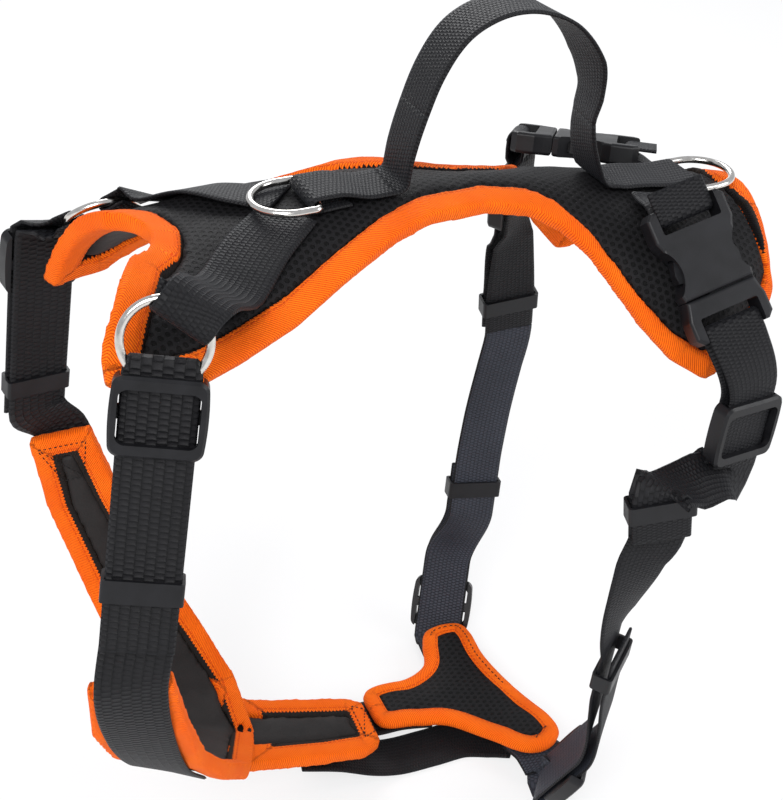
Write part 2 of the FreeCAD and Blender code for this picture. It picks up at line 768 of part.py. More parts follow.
for side, sign in SIDES.items():
    at, run, outward = RINGS[side]
    round_ring(f"{side}_shoulder_ring", at, run, outward)
    ring = seat(at, run, outward)
    line = seat(*SHOULDER[side])
    stations = [along(line, TAIL_AT[side], HALF_PITCH, 180), along(line, -15, HALF_PITCH, 180)]
    turn = fold(ring, FOLD_AT, HALF_PITCH)
    if side == "right":
        turn = [along(ring, PAST_RING, HALF_PITCH, 180)] + turn
        turn.append(along(ring, PAST_RING, -HALF_PITCH))
    stations += turn
    stations += [along(line, -15, -HALF_PITCH), along(line, TAIL_AT[side] - 4, -HALF_PITCH)]
    arm = sling_stations[:4] if side == "left" else sling_stations[::-1][:3]
    spots = [(s.multVec(V(0, 0, BELOW)), s.Rotation.multVec(V(0, 0, 1))) for s in arm]
    stations += drape([(stations[-1].Base, spots[0][1])] + spots)[1:]
    strap(f"{side}_shoulder_strap", stations, range(2, 2 + len(turn)))
    slider(f"{side}_shoulder_slider", *SHOULDER[side])
    _, run, outward = SHOULDER[side]
    keeper(f"{side}_shoulder_keeper", along(line, KEEPER_AT[side], 0).Base, run, outward)

    at, run, outward = RINGS[side]
    back = seat(at, -V(*run), outward)
    tilt, middle, centre, radius = YOKE_LOOP[side]
    leaning = back.multiply(FreeCAD.Placement(V(), FreeCAD.Rotation(V(0, 1, 0), tilt)))
    leaning = along(leaning, 0, middle)
    turn = turned_over(fold(leaning, centre, radius))
    stations = [along(leaning, PAST_RING, -radius, 180)] + turn
    stations.append(along(leaning, PAST_RING, radius))
    for x, share in zip((-64, -47), (0.60, 0.45)):
        stations.append(on_back(x, sign * share, 1.2 + THICK / 2, (1, -sign * 0.75, 0)))
    strap(f"{side}_yoke_webbing", stations, range(1, 1 + len(turn)))


# ------------------------------------------------------------------ build: spine and handle
def spine(x, lift):
    return on_back(x, 0.0, lift)


HANDLE_FOOT = {"front": 12.0, "rear": 106.0}
for end, (name, (bar_x, forward)) in zip(("front", "rear"), DEES.items()):
    bar = spine(bar_x, DEE_LIFT)
    up = bar.Rotation.multVec(V(0, 0, 1))
    loop = seat(bar.Base, bar.Rotation.multVec(V(forward, 0, 0)), up)
    dee_ring(name, bar.Base, run=bar.Rotation.multVec(V(-forward, 0, 0)), outward=up)
    foot = HANDLE_FOOT[end]
    on_top = [spine(foot + forward * back, 1.2 + THICK / 2) for back in (0, -8)]
    stations = [seat(s.Base, s.Rotation.multVec(V(-forward, 0, 0)), up) for s in on_top]
    stations += [along(loop, 8, HALF_PITCH, 180)] + fold(loop, 0, HALF_PITCH)
    under = spine(bar_x + forward * 13, GAP + THICK / 2)
    stations.append(seat(under.Base, under.Rotation.multVec(V(forward, 0, 0)), up))
    soft(f"{end}_spine_webbing", ribbon(stations))

HANDLE = [
    ((24, 341), (0.0, 1, 0)),
    ((31, 356), (0.0, 1, 0)),
    ((41, 368), (0.0, 1, 0)),
    ((55, 374), (0.0, 1, 0)),
    ((70, 373.5), (-0.02, 1, 0)),
    ((85, 366), (-0.08, 1, 0)),
    ((96, 351), (-0.12, 1, 0)),
    ((99, 338), (0.10, 1, -0.1)),
    ((97, 326), (0.18, 1, -0.1)),
]
FRONT_FOOT = [((16.5, 315.0), (0, 1, 0)), ((18.5, 325), (0, 1, 0))]
REAR_FOOT = [((98, 314), (0.08, 1, -0.05)), ((101, 303.5), (0, 1, 0))]


def handle_stations(rows):
    points = [V(x, 0, z) for (x, z), _ in rows]
    stations = []
    for i, (_, across) in enumerate(rows):
        run = points[min(i + 1, len(rows) - 1)] - points[max(i - 1, 0)]
        stations.append(seat_across(points[i], run, across))
    return stations


strip = handle_stations(FRONT_FOOT + HANDLE + REAR_FOOT)
feet = [spine(HANDLE_FOOT[end], 1.2 + THICK / 2) for end in ("front", "rear")]
strip = feet[:1] + strip + feet[1:]
soft("handle_front_root", ribbon(strip[:4]))
soft("handle_webbing", ribbon(strip[3:-3]))
soft("handle_rear_root", ribbon(strip[-4:]))


# ------------------------------------------------------------------ build: girth straps
BAR_CENTRE = size("plug_length") - size("buckle_bar") + 0.6
SOCKET_BAR = -size("socket_length") + size("buckle_bar") - 0.4
for side, sign in SIDES.items():
    buckle = seat(*BUCKLE[side])
    socket(f"{side}_buckle_socket", *BUCKLE[side])
    plug(f"{side}_buckle_plug", *BUCKLE[side])
    for letter, way in (("front", -1), ("rear", 1)):
        prong(f"{side}_buckle_{letter}_prong", way, *BUCKLE[side])
    slider(f"{side}_girth_slider", *GIRTH_SLIDER[side])
    keeper(f"{side}_girth_keeper", *GIRTH_KEEPER[side])
    keeper(f"{side}_belly_keeper", *LOWER_KEEPER[side])
    _, run, outward = LOWER_SLIDER[side]
    stop = along(seat(*LOWER_SLIDER[side]), LOWER_SLIDER_AT[side], 0).Base
    slider(f"{side}_belly_slider", stop, run, outward)

    # upper strap: tail, slider, plug bar, slider again and down behind the keeper
    upper = seat(*GIRTH_SLIDER[side])
    held = seat(*GIRTH_KEEPER[side])
    path = GIRTH_PATH[side]
    turns = [(seat(p, r, n), w) for p, n, r, w in path["bend"]]

    def layer(lift, back):
        """One layer of the upper strap between the keeper and the slider."""
        turn = 180 if back else 0
        row = [(along(upper, 18, lift, turn), WIDTH)]
        row += [(along(s, 0, lift, turn), w) for s, w in turns]
        row += [(along(held, -6, lift, turn), WIDTH), (along(held, 16, lift, turn), WIDTH)]
        return row[::-1] if back else row

    if side == "left":
        bar = along(buckle, BAR_CENTRE, 0)
        loop = fold(bar, 0, HALF_PITCH)
        loop = [along(bar, 5.5, HALF_PITCH, 180)] + loop + [along(bar, 5.5, -HALF_PITCH)]
    else:
        y_axis = buckle.Rotation.multVec(V(0, -1, 0))
        down = buckle.Rotation.multVec(V(0, 0, -1))
        bar = seat_across(along(buckle, BAR_CENTRE + 1.4, 0).Base, down, y_axis)
        loop = fold(bar, 0.0, HALF_PITCH + 1.0)
        loop = [along(bar, 6.5, HALF_PITCH + 1.0, 180)] + loop + [along(bar, 6.5, -HALF_PITCH - 1.0)]
    rows = layer(HALF_PITCH, True) + [(along(upper, -15.5, HALF_PITCH, 180), WIDTH)]
    rows += [(s, WIDTH) for s in loop]
    rows += [(along(upper, -15.5, -HALF_PITCH), WIDTH)] + layer(-HALF_PITCH, False)
    soft(f"{side}_girth_strap", strip_loft([s for s, _ in rows], [w for _, w in rows],
                                            -THICK / 2, THICK / 2))

    # lower strap: down from the keeper to the belly pad, with its own turned back tail
    low_keeper = seat(*LOWER_KEEPER[side])
    low_slider = seat(*LOWER_SLIDER[side])
    rows = [along(held, 16, -HALF_PITCH)]
    rows += [along(s, 0, -HALF_PITCH) for s in drape(
        [(rows[0].Base, V(*GIRTH_KEEPER[side][2]))] + path["fall"]
        + [(low_keeper.Base, V(*LOWER_KEEPER[side][2]))])[1:-1]]
    rows += [along(frame, u, -HALF_PITCH) for frame, u in (
        (low_keeper, -14), (low_keeper, 14), (low_slider, -24), (low_slider, 17))]
    rows += drape([(rows[-1].Base, V(*LOWER_SLIDER[side][2]))] + path["foot"])[1:]
    tail = [along(frame, u, HALF_PITCH) for frame, u in (
        (low_keeper, -13), (low_keeper, 14), (low_slider, -24), (low_slider, 17))]
    tail.append(along(rows[-3], 0, THICK + 0.1))
    soft(f"{side}_belly_strap", Part.makeCompound([ribbon(rows), ribbon(tail)]))

    # webbing from the spine over the flank to the socket's bar
    bar = along(buckle, SOCKET_BAR, 0)
    back = seat(bar.Base, bar.Rotation.multVec(V(-1, 0, 0)), bar.Rotation.multVec(V(0, 0, 1)))
    stations = [along(back, 11, HALF_PITCH, 180)] + fold(back, 0, HALF_PITCH)
    stations.append(along(back, 2, -HALF_PITCH))
    x, share, lift, run = CROSS_END[side]
    top = on_back(x, share, lift, run)
    strap(f"{side}_cross_webbing", stations + between(stations[-1], top, 5) + [top])


# ------------------------------------------------------------------ build: belly straps
LINK = [
    ((-22, 14, 16.5), (-0.15, 0, -1)),
    ((-4, 16, 13.6), (-0.1, 0, -1)),
    ((10, 17, 9.4), (-0.1, 0, -1)),
    ((24, 17, 8.0), (0.1, 0, -1)),
    ((40, 15, 5.6), (0.05, 0, -1)),
]
LOOP = [
    ((-34, 2, 18.0), (-0.15, 0, -1)),
    ((-16, -1, 12.5), (-0.4, 0, -1)),
    ((0, -3, 5.0), (-0.4, 0, -1)),
    ((14, -4, 1.2), (-0.1, 0, -1)),
    ((32, -5, 0.7), (0, 0, -1)),
    ((50, -6, 0.7), (0, 0, -1)),
    ((64, -12, 1.4), (0.1, 0, -1)),
    ((74, -20, 3.6), (0.1, -0.1, -1)),
]
soft("belly_link_webbing", ribbon(drape(LINK)))
soft("belly_loop_webbing", ribbon(drape(LOOP)))


# ------------------------------------------------------------------ check and write
doc.recompute()
for item in doc.Objects:
    if "Invalid" in item.State or "Error" in item.State:
        raise RuntimeError(f"{item.Name} failed: {item.State}")
PIECES = ("PartDesign::Body", "Part::Torus", "Part::Feature")
pieces = [item for item in doc.Objects if item.TypeId in PIECES]
broken = [p.Label for p in pieces if p.Shape.isNull() or not p.Shape.isValid()]
if broken:
    raise RuntimeError(f"no valid shape: {broken}")

os.makedirs("parts", exist_ok=True)
for piece in pieces:
    piece.Shape.exportStep(f"parts/{piece.Label}.step")
print(len(pieces), "pieces written")
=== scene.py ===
import json
import math

import bmesh
import bpy
import numpy as np
from mathutils import Matrix, Vector, noise


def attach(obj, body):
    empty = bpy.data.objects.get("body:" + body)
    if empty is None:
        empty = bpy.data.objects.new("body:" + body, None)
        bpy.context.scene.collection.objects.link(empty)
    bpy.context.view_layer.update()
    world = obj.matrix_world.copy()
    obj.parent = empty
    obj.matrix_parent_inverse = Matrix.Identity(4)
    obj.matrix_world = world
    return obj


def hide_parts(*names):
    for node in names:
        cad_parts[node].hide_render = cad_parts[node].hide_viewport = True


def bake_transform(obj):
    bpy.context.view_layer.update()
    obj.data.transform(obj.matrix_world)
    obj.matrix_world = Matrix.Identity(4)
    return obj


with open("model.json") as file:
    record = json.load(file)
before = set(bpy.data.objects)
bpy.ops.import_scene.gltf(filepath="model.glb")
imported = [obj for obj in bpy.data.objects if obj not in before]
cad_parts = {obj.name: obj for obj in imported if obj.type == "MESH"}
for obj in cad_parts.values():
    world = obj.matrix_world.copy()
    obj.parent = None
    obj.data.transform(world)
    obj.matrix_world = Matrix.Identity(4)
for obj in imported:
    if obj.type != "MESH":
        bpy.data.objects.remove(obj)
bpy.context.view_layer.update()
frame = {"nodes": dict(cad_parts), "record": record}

# A no pull dog harness. The hardware is the model's own. Every sewn piece is made here in
# millimetres, from the same stations as the model's, and turned into metres with each mesh.
# The belly pad has a rounder outline of its own, over the model's three crossing strips.

MM = 0.001
ORIGIN = Vector((-19.3, 0.6, 0.0))
SIDES = {"left": -1, "right": 1}

# ---------------- sizes shared with the model
WIDTH = 25.0
THICK = 1.4
HALF_PITCH = 2.5
GAP = 0.3
BINDING = 11.0
HALF_BINDING = 3.5
MIDDLE = 2.5
RING_RADIUS = 13.0
WIRE = 3.0
BUNCHED = 22.0
FOLD_AT = math.sqrt(RING_RADIUS ** 2 - (BUNCHED / 2) ** 2) - 2 * GAP + HALF_PITCH - THICK / 2
PAST_RING = RING_RADIUS + WIRE + 0.6
BAR_CENTRE = 14.6
SOCKET_BAR = -33.4
BELOW = HALF_BINDING + GAP + THICK / 2
DEE_LIFT = HALF_PITCH + GAP + THICK / 2
ON_CLOTH = 1.2 + THICK / 2
# Where straps start and end their straight stretches, along the piece that each runs through.
SHOULDER_BEND = -15
LOOP_START, GIRTH_STRAIGHT = -15.5, 18
HELD_START, HELD_END = -6, 16
KEEPER_END = 14
SLIDER_START, SLIDER_END = -24, 17

BACK = [
    (-112, (325, 61, 36), (310, 57, 42)),
    (-100, (321, 64, 36), (312, 60, 43)),
    (-90, (314.5, 65, 30), (311, 62, 42)),
    (-80, (308.5, 64, 24), (309, 63, 37)),
    (-66, (306.5, 57, 22), (307, 60, 30)),
    (-41, (308, 46, 20), (308, 50, 23)),
    (-19, (309.5, 37, 13), (309.5, 41, 16)),
    (4, (310.5, 28, 6), (310.5, 33, 8)),
    (22, (310.5, 21, 4), (310.5, 27, 6)),
    (48, (308, 17, 3.5), (308, 20, 5)),
    (66, (305, 18, 5), (305, 22, 6)),
    (77, (303, 23.5, 9.5), (303, 29, 9)),
    (85, (301, 33, 16), (301, 40, 13)),
    (99, (298, 52, 38), (298, 55, 27)),
    (110, (296, 59, 50), (296, 60, 42)),
    (124, (293, 62, 57), (293, 62, 56)),
    (140, (289, 59, 49), (289, 59, 49)),
    (156, (287, 52, 38), (287, 52, 38)),
    (166, (287, 43, 31), (287, 43, 31)),
    (172, (286, 28, 17), (286, 28, 17)),
    (175, (286, 14, 7), (286, 14, 7)),
]
NOTCH = [(-112, -58), (-104, -46), (-92, -22), (-83.5, -12), (-80, 0),
         (-83.5, 12), (-92, 22), (-104, 46), (-112, 58)]
BACK_FRONT, BACK_REAR = BACK[0][0], BACK[-1][0]
NORMAL_REAR = BACK_REAR - 0.1
NOTCH_HALF = 58
SLING = [
    ((-121, -82.5, 176), (-0.20, -0.95, 0.05), 30),
    ((-118, -73, 143), (-0.32, -0.86, -0.35), 36),
    ((-110, -56, 108), (-0.42, -0.70, -0.55), 38),
    ((-99, -39, 82), (-0.45, -0.55, -0.70), 43),
    ((-88, -17, 57), (-0.40, -0.30, -0.86), 50),
    ((-80, 8, 44), (-0.25, 0.05, -0.96), 52),
    ((-79, 33, 48), (-0.18, 0.42, -0.88), 50),
    ((-84, 56, 62), (0.00, 0.70, -0.71), 42),
    ((-96, 72, 98), (0.22, 0.86, -0.45), 36),
    ((-107, 81, 140), (0.38, 0.90, -0.18), 34),
    ((-113, 84, 176), (0.30, 0.95, 0.02), 28),
]
TAIL = [
    ((-72, 8, 41), (-0.15, 0.05, -1), 44),
    ((-48, 6, 33), (-0.25, 0.05, -1), 40),
    ((-24, 5, 26), (-0.22, 0.05, -1), 38),
    ((-3, 5, 20), (-0.18, 0.05, -1), 35),
    ((5, 5, 18.5), (-0.15, 0.05, -1), 26),
]
PAD_LEVELS = [
    (66, 14, 10), (40, 16, 10.5), (20, 18, 13), (11, 18, 14),
    (58, 2, 10), (64, 30, 10.5), (69, 54, 13), (70, 58, 13.6),
    (56, 21, 10), (67, -3, 10.5), (77, -26, 13), (80, -35, 14),
]
RINGS = {
    "left": ((-92.9, -69.7, 304.2), (-0.22, -0.155, -0.963), (-0.25, -0.94, 0.21)),
    "right": ((-86, 60, 290), (-0.80, 0.42, -0.43), (-0.05, 0.70, 0.71)),
}
SHOULDER = {
    "left": ((-98.4, -73.6, 280.1), (-0.22, -0.155, -0.963), (-0.25, -0.94, 0.21)),
    "right": ((-110, 75.5, 268), (-0.15, 0.14, -0.98), (-0.20, 0.97, 0.18)),
}
TAIL_AT = {"left": 88, "right": 80}
# The yoke webbing's loop: turn in the ring's plane, tilt out of it, lift, start, radius.
YOKE_LOOP = {
    "left": (-30.0, 24.0, 3.8, 10.6, 4.7),
    "right": (0.0, 0.0, 0.0, FOLD_AT, HALF_PITCH),
}
YOKE_ON_PANEL = {
    "left": [(-58, 0.56), (-46, 0.38), (-30, 0.16)],
    "right": [(-66, 0.58), (-54, 0.46), (-40, 0.28), (-28, 0.12)],
}
BUCKLE = {
    "left": ((127.7, -58.3, 270.6), (0.164, -0.62, -0.766), (-0.10, -0.77, 0.63)),
    "right": ((115, 53.0, 291.8), (-0.82, 0.56, 0.05), (0.10, 0.25, 0.96)),
}
GIRTH_SLIDER = {
    "left": ((133, -79, 218), (-0.10, 0.0, -0.995), (0.16, -0.98, 0.0)),
    "right": ((105, 69, 263), (0.05, 0.20, -0.975), (-0.60, 0.76, 0.14)),
}
GIRTH_KEEPER = {
    "left": ((97, -83, 191), (0.10, 0.0, -0.99), (-0.25, -0.96, 0.0)),
    "right": ((111, 81, 198), (0.10, 0.19, -0.977), (0.10, 0.95, 0.2)),
}
LOWER_KEEPER = {
    "left": ((88, -75, 101), (-0.03, 0.12, -0.99), (0.64, -0.76, 0.0)),
    "right": ((95, 80, 89), (-0.15, -0.106, -0.983), (0.15, 0.98, -0.1)),
}
LOWER_SLIDER = {
    "left": ((77, -60, 24), (-0.25, 0.40, -0.88), (0.75, -0.50, -0.45)),
    "right": ((75, 73, 18.5), (-0.32, -0.42, -0.85), (0.50, 0.80, -0.34)),
}
GIRTH_BEND = {
    "left": [((115, -81, 196.5), (-0.45, -0.45, 0.77), (-0.93, 0, -0.37), 23)],
    "right": [((107, 75, 236), (-0.25, 0.95, 0.1), (0.1, 0.2, -0.97), 25)],
}
BELLY_FALL = {
    "left": [((93, -83, 160), (-0.05, -1, 0)), ((88, -80, 130), (0.40, -0.9, 0))],
    "right": [((109, 85, 160), (0.12, 0.98, 0.05)), ((102, 84, 128), (0.15, 0.98, 0))],
}
BELLY_FOOT = {
    "left": [((79, -47, 8.4), (0.3, -0.35, -0.9)), ((79, -34, 8.6), (0, 0, -1)),
             ((76, -22, 8.0), (0, 0, -1))],
    "right": [((68, 60, 4.8), (-0.1, 0.3, -0.95)), ((67, 50, 6.0), (0, 0, -1)),
              ((66, 38, 6.0), (0, 0, -1))],
}
CROSS_END = {
    "left": (124, -0.16, 3.0, (-0.05, 1, 0)),
    "right": (151, 0.36, 2.4, (0.55, -0.83, 0)),
}
DEES = {"front": (-19.0, 1), "rear": (146.0, -1)}
HANDLE_FOOT = {"front": 12.0, "rear": 106.0}
HANDLE = [
    ((16.5, 315.0), (0, 1, 0)), ((18.5, 325), (0, 1, 0)),
    ((24, 341), (0.0, 1, 0)), ((31, 356), (0.0, 1, 0)), ((41, 368), (0.0, 1, 0)),
    ((55, 374), (0.0, 1, 0)), ((70, 373.5), (-0.02, 1, 0)), ((85, 366), (-0.08, 1, 0)),
    ((96, 351), (-0.12, 1, 0)), ((99, 338), (0.10, 1, -0.1)), ((97, 326), (0.18, 1, -0.1)),
    ((98, 314), (0.08, 1, -0.05)), ((101, 303.5), (0, 1, 0)),
]
LINK = [
    ((-22, 14, 16.5), (-0.15, 0, -1)), ((-4, 16, 13.6), (-0.1, 0, -1)),
    ((10, 17, 9.4), (-0.1, 0, -1)), ((24, 17, 8.0), (0.1, 0, -1)), ((40, 15, 5.6), (0.05, 0, -1)),
]
LOOP = [
    ((-34, 2, 18.0), (-0.15, 0, -1)), ((-16, -1, 12.5), (-0.4, 0, -1)),
    ((0, -3, 5.0), (-0.4, 0, -1)), ((14, -4, 1.2), (-0.1, 0, -1)), ((32, -5, 0.7), (0, 0, -1)),
    ((50, -6, 0.7), (0, 0, -1)), ((64, -12, 1.4), (0.1, 0, -1)), ((74, -20, 3.6), (0.1, -0.1, -1)),
]


# ---------------- stations
def frame_of(at, x_axis, y_axis):
    """Station with the run along X, its width along Y and its outward side along Z."""
    turn = Matrix((x_axis, y_axis, x_axis.cross(y_axis))).transposed().to_4x4()
    return Matrix.Translation(at) @ turn


def seat(at, run, outward):
    x_axis = Vector(run).normalized()
    y_axis = Vector(outward).cross(x_axis).normalized()
    return frame_of(Vector(at), x_axis, y_axis)


def seat_across(at, run, across):
    y_axis = Vector(across).normalized()
    x_axis = Vector(run)
    x_axis = (x_axis - y_axis * x_axis.dot(y_axis)).normalized()
    return frame_of(Vector(at), x_axis, y_axis)


def axis(station, index):
    return station.to_3x3().col[index].copy()


def along(station, run, lift, turn=0.0):
    turned = Matrix.Rotation(math.radians(turn), 4, "Y")
    return station @ Matrix.Translation((run, 0, lift)) @ turned


def fold(station, centre, radius, steps=8):
    """Half turn round a bar, from the outer layer to the inner one."""
    row = []
    for step in range(steps + 1):
        angle = 90 + 180 * step / steps
        a = math.radians(angle)
        row.append(along(station, centre + radius * math.cos(a), radius * math.sin(a), 270 - angle))
    return row


def turned_over(stations):
    half_turn = Matrix.Rotation(math.pi, 4, "Y")
    return [station @ half_turn for station in reversed(stations)]


def drape(spots):
    points = [Vector(p) for p, _ in spots]
    row = []
    for i, (_, outward) in enumerate(spots):
        run = points[min(i + 1, len(points) - 1)] - points[max(i - 1, 0)]
        row.append(seat(points[i], run, outward))
    return row


def wide_drape(spots):
    return drape([(p, n) for p, n, _ in spots]), [w for _, _, w in spots]


# ---------------- back panel's surface
def flank(half_width, drop):
    radius = (half_width ** 2 + drop ** 2) / (2 * drop)
    return radius, math.atan2(half_width, radius - drop)


def back_point(station, share, lift):
    """Point across one station: share -1 is the left edge, 0 the spine, 1 the right edge."""
    height, half_width, drop = station[1 if share < 0 else 2]
    radius, angle = flank(half_width, drop)
    turn = share * angle
    level = height - MIDDLE
    return Vector((station[0], (radius + lift) * math.sin(turn),
                   level - radius + (radius + lift) * math.cos(turn)))


def back_spot(x, share, lift):
    """The same for any x, straight between two stations."""
    i = max(k for k in range(len(BACK) - 1) if BACK[k][0] <= x)
    a, b = BACK[i], BACK[i + 1]
    part = (x - a[0]) / (b[0] - a[0])
    return back_point(a, share, lift) * (1 - part) + back_point(b, share, lift) * part


def back_normal(x, share):
    across = back_spot(x, share + 0.03, 0) - back_spot(x, share - 0.03, 0)
    fore = (back_spot(min(x + 2, NORMAL_REAR), share, 0)
            - back_spot(max(x - 2, BACK_FRONT), share, 0))
    return fore.cross(across).normalized()


def on_back(x, share, lift, run=(1, 0, 0)):
    outward = back_normal(x, share)
    return seat(back_spot(x, share, MIDDLE) + outward * lift, run, outward)


def share_at(x, y):
    """Share of the surface that lies at a distance y from the spine."""
    sign = -1 if y < 0 else 1
    low, high = 0.0, 1.0
    for _ in range(30):
        middle = (low + high) / 2
        if abs(back_spot(x, sign * middle, 0).y) < abs(y):
            low = middle
        else:
            high = middle
    return sign * low


# ---------------- meshes
body_of_node = {}
for body_name, members in frame["record"]["behaviour"]["bodies"].items():
    for member in members:
        body_of_node[member] = body_name


def smooth_faces(mesh):
    for polygon in mesh.polygons:
        polygon.use_smooth = True


def new_materials(obj, materials):
    for material in materials:
        obj.data.materials.append(material)


def new_object(name, data, materials=()):
    obj = bpy.data.objects.new(name, data)
    bpy.context.scene.collection.objects.link(obj)
    new_materials(obj, materials)
    return obj


def stand_in(obj, node, ride=True):
    """The piece is shown in place of a model node and moves with that node's body."""
    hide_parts(node)
    if ride:
        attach(obj, body_of_node[node])
    return obj


def close_rows(stations, widths, step=2.5):
    """Close stations on a smooth line through the given ones: place, across, normal, width, run."""
    places, sides, spread, run = [], [], [], []
    travelled = 0.0
    side = axis(stations[0], 1)
    for i in range(len(stations) - 1):
        a, b = stations[i], stations[i + 1]
        p, q = a.translation, b.translation
        length = (q - p).length
        start, end = axis(a, 0) * length, axis(b, 0) * length
        side_a = axis(a, 1) if axis(a, 1).dot(side) > 0 else -axis(a, 1)
        side_b = axis(b, 1) if axis(b, 1).dot(side_a) > 0 else -axis(b, 1)
        count = max(2, math.ceil(length / step))
        for k in range(count + (i == len(stations) - 2)):
            t = k / count
            t2, t3 = t * t, t * t * t
            place = (p * (2 * t3 - 3 * t2 + 1) + start * (t3 - 2 * t2 + t)
                     + q * (3 * t2 - 2 * t3) + end * (t3 - t2))
            if places:
                travelled += (place - places[-1]).length
            places.append(place)
            sides.append(side_a.lerp(side_b, t).normalized())
            ease = t2 * (3 - 2 * t)
            spread.append(widths[i] * (1 - ease) + widths[i + 1] * ease)
            run.append(travelled)
        side = side_b
    rows = []
    for i, place in enumerate(places):
        tangent = places[min(i + 1, len(places) - 1)] - places[max(i - 1, 0)]
        normal = tangent.cross(sides[i]).normalized()
        rows.append((place, normal.cross(tangent).normalized(), normal, spread[i], run[i]))
    return rows


ABOVE_FLOOR = 0.1
SELVEDGE = 0.35
ACROSS = [-0.96, -0.75, -0.5, -0.25, 0.0, 0.25, 0.5, 0.75, 0.96]


def strip_section(width):
    """Points round one webbing section: (across, lift)."""
    half = width / 2
    edge = half - SELVEDGE
    top = [(s * edge, THICK / 2) for s in ACROSS]
    low = [(s * edge, -THICK / 2) for s in reversed(ACROSS)]
    return top + [(half, 0)] + low + [(-half, 0)]


def strip_mesh(name, strips, wave=0.06):
    """Webbing through rows of stations, each closed, with its weave's UV in millimetres."""
    vertices, faces, uvs, under = [], [], [], []
    for number, (stations, widths) in enumerate(strips):
        rows = close_rows(stations, widths)
        first = len(vertices)
        for place, side, normal, width, run in rows:
            for across, lift in strip_section(width):
                ripple = wave * noise.noise(Vector((run * 0.11, across * 0.09, number * 7.3)))
                spot = place + side * across + normal * (lift + ripple) + ORIGIN
                spot.z = max(spot.z, ABOVE_FLOOR)
                vertices.append(spot * MM)
                uvs.append((across, run))
        count = 2 * len(ACROSS) + 2
        for i in range(len(rows) - 1):
            for k in range(count):
                a = first + i * count + k
                b = first + i * count + (k + 1) % count
                faces.append((a, b, b + count, a + count))
                under.append(len(ACROSS) < k < 2 * len(ACROSS))
        faces.append(tuple(first + k for k in reversed(range(count))))
        faces.append(tuple(first + (len(rows) - 1) * count + k for k in range(count)))
        under += [False, False]
    mesh = bpy.data.meshes.new(name)
    mesh.from_pydata(vertices, [], faces)
    layer = mesh.uv_layers.new(name="weave")
    for loop in mesh.loops:
        layer.data[loop.index].uv = uvs[loop.vertex_index]
    smooth_faces(mesh)
    mesh.validate()
    return mesh, under


def webbing(node, strips, material, painted_sheen_material=None, ride=True):
    mesh, under = strip_mesh(node + "_cloth", strips)
    obj = new_object(node + "_cloth", mesh, [material])
    # A second material, the painted sheen copy of the webbing, goes on the faces of the strap's
    # other side.
    if painted_sheen_material:
        mesh.materials.append(painted_sheen_material)
        for polygon, below in zip(mesh.polygons, under):
            polygon.material_index = 1 if below else 0
    return stand_in(obj, node, ride)


def equal(stations, width=WIDTH):
    return stations, [width] * len(stations)


def soft_copy(node, voxel, smooth, swell):
    """Even, rounded copy of a model node's solid."""
    source = frame["nodes"][node]
    obj = new_object(node + "_cloth", source.data.copy())
    remesh = obj.modifiers.new("even", "REMESH")
    remesh.mode = "VOXEL"
    remesh.voxel_size = voxel * MM
    rounding = obj.modifiers.new("rounding", "SMOOTH")
    rounding.factor = 0.5
    rounding.iterations = smooth
    swelling = obj.modifiers.new("swelling", "DISPLACE")
    swelling.strength = swell * MM
    swelling.mid_level = 0.0
    graph = bpy.context.evaluated_depsgraph_get()
    mesh = bpy.data.meshes.new_from_object(obj.evaluated_get(graph))
    obj.modifiers.clear()
    obj.data = mesh
    mesh.materials.clear()
    smooth_faces(mesh)
    return obj


def vertex_rows(obj, what):
    flat = np.zeros(len(obj.data.vertices) * 3)
    obj.data.vertices.foreach_get(what, flat)
    return flat.reshape(-1, 3)


def spots_of(obj):
    """The object's vertices as an array, in the stations' millimetres."""
    return vertex_rows(obj, "co") / MM - np.array(ORIGIN)


def set_spots(obj, spots):
    obj.data.vertices.foreach_set("co", ((spots + np.array(ORIGIN)) * MM).ravel())
    obj.data.update()


def set_cloth(obj, first, second):
    """Stores two lengths in millimetres at each vertex, for the cloth's pattern."""
    values = np.stack([first, second, np.zeros(len(first))], 1).astype(np.float32)
    attribute = obj.data.attributes.new("cloth", "FLOAT_VECTOR", "POINT")
    attribute.data.foreach_set("vector", values.ravel())


# ---------------- edge lines
def dense_line(points, normals, step=1.5):
    """Close points with normals along straight runs, and the length travelled at each."""
    spots, outward, run = [], [], []
    travelled = 0.0
    for (p, q), (n, m) in zip(zip(points, points[1:]), zip(normals, normals[1:])):
        length = (q - p).length
        count = max(1, round(length / step))
        for k in range(count):
            t = k / count
            spots.append(p.lerp(q, t))
            outward.append(n.lerp(m, t).normalized())
            run.append(travelled + length * t)
        travelled += length
    return spots, outward, run


def back_line(spots):
    """Points and normals at (x, share) spots of the back's surface."""
    points = [back_spot(min(x, BACK_REAR - 0.01), s, 0) for x, s in spots]
    return points, [back_normal(min(x, NORMAL_REAR), s) for x, s in spots]


def back_edges():
    """The back panel's edge lines: both sides, the neck's notch, the rear, the two arm tips."""
    lines = []
    for side in (-1, 1):
        points, _ = back_line([(row[0], side) for row in BACK])
        lines.append((points, back_line([(row[0], side * 0.97) for row in BACK])[1]))
    lines.append(back_line([(x, share_at(x, y)) for x, y in NOTCH]))
    lines.append(back_line([(BACK_REAR, s) for s in (-1, -0.6, -0.3, 0, 0.3, 0.6, 1)]))
    for side in (-1, 1):
        inner = share_at(BACK_FRONT, side * NOTCH_HALF)
        lines.append(back_line([(BACK_FRONT, side), (BACK_FRONT, inner)]))
    return lines


def strip_edges(stations, widths, start, end):
    """Edge lines of one padded strip, with the ends that are bound."""
    normals = [axis(s, 2) for s in stations]
    lines = []
    for side in (-0.5, 0.5):
        points = [s @ Vector((0, side * w, 0)) for s, w in zip(stations, widths)]
        lines.append((points, normals))
    for bound, i in ((start, 0), (end, -1)):
        if bound:
            points = [stations[i] @ Vector((0, side * widths[i], 0)) for side in (-0.5, 0.5)]
            lines.append((points, [normals[i]] * 2))
    return lines


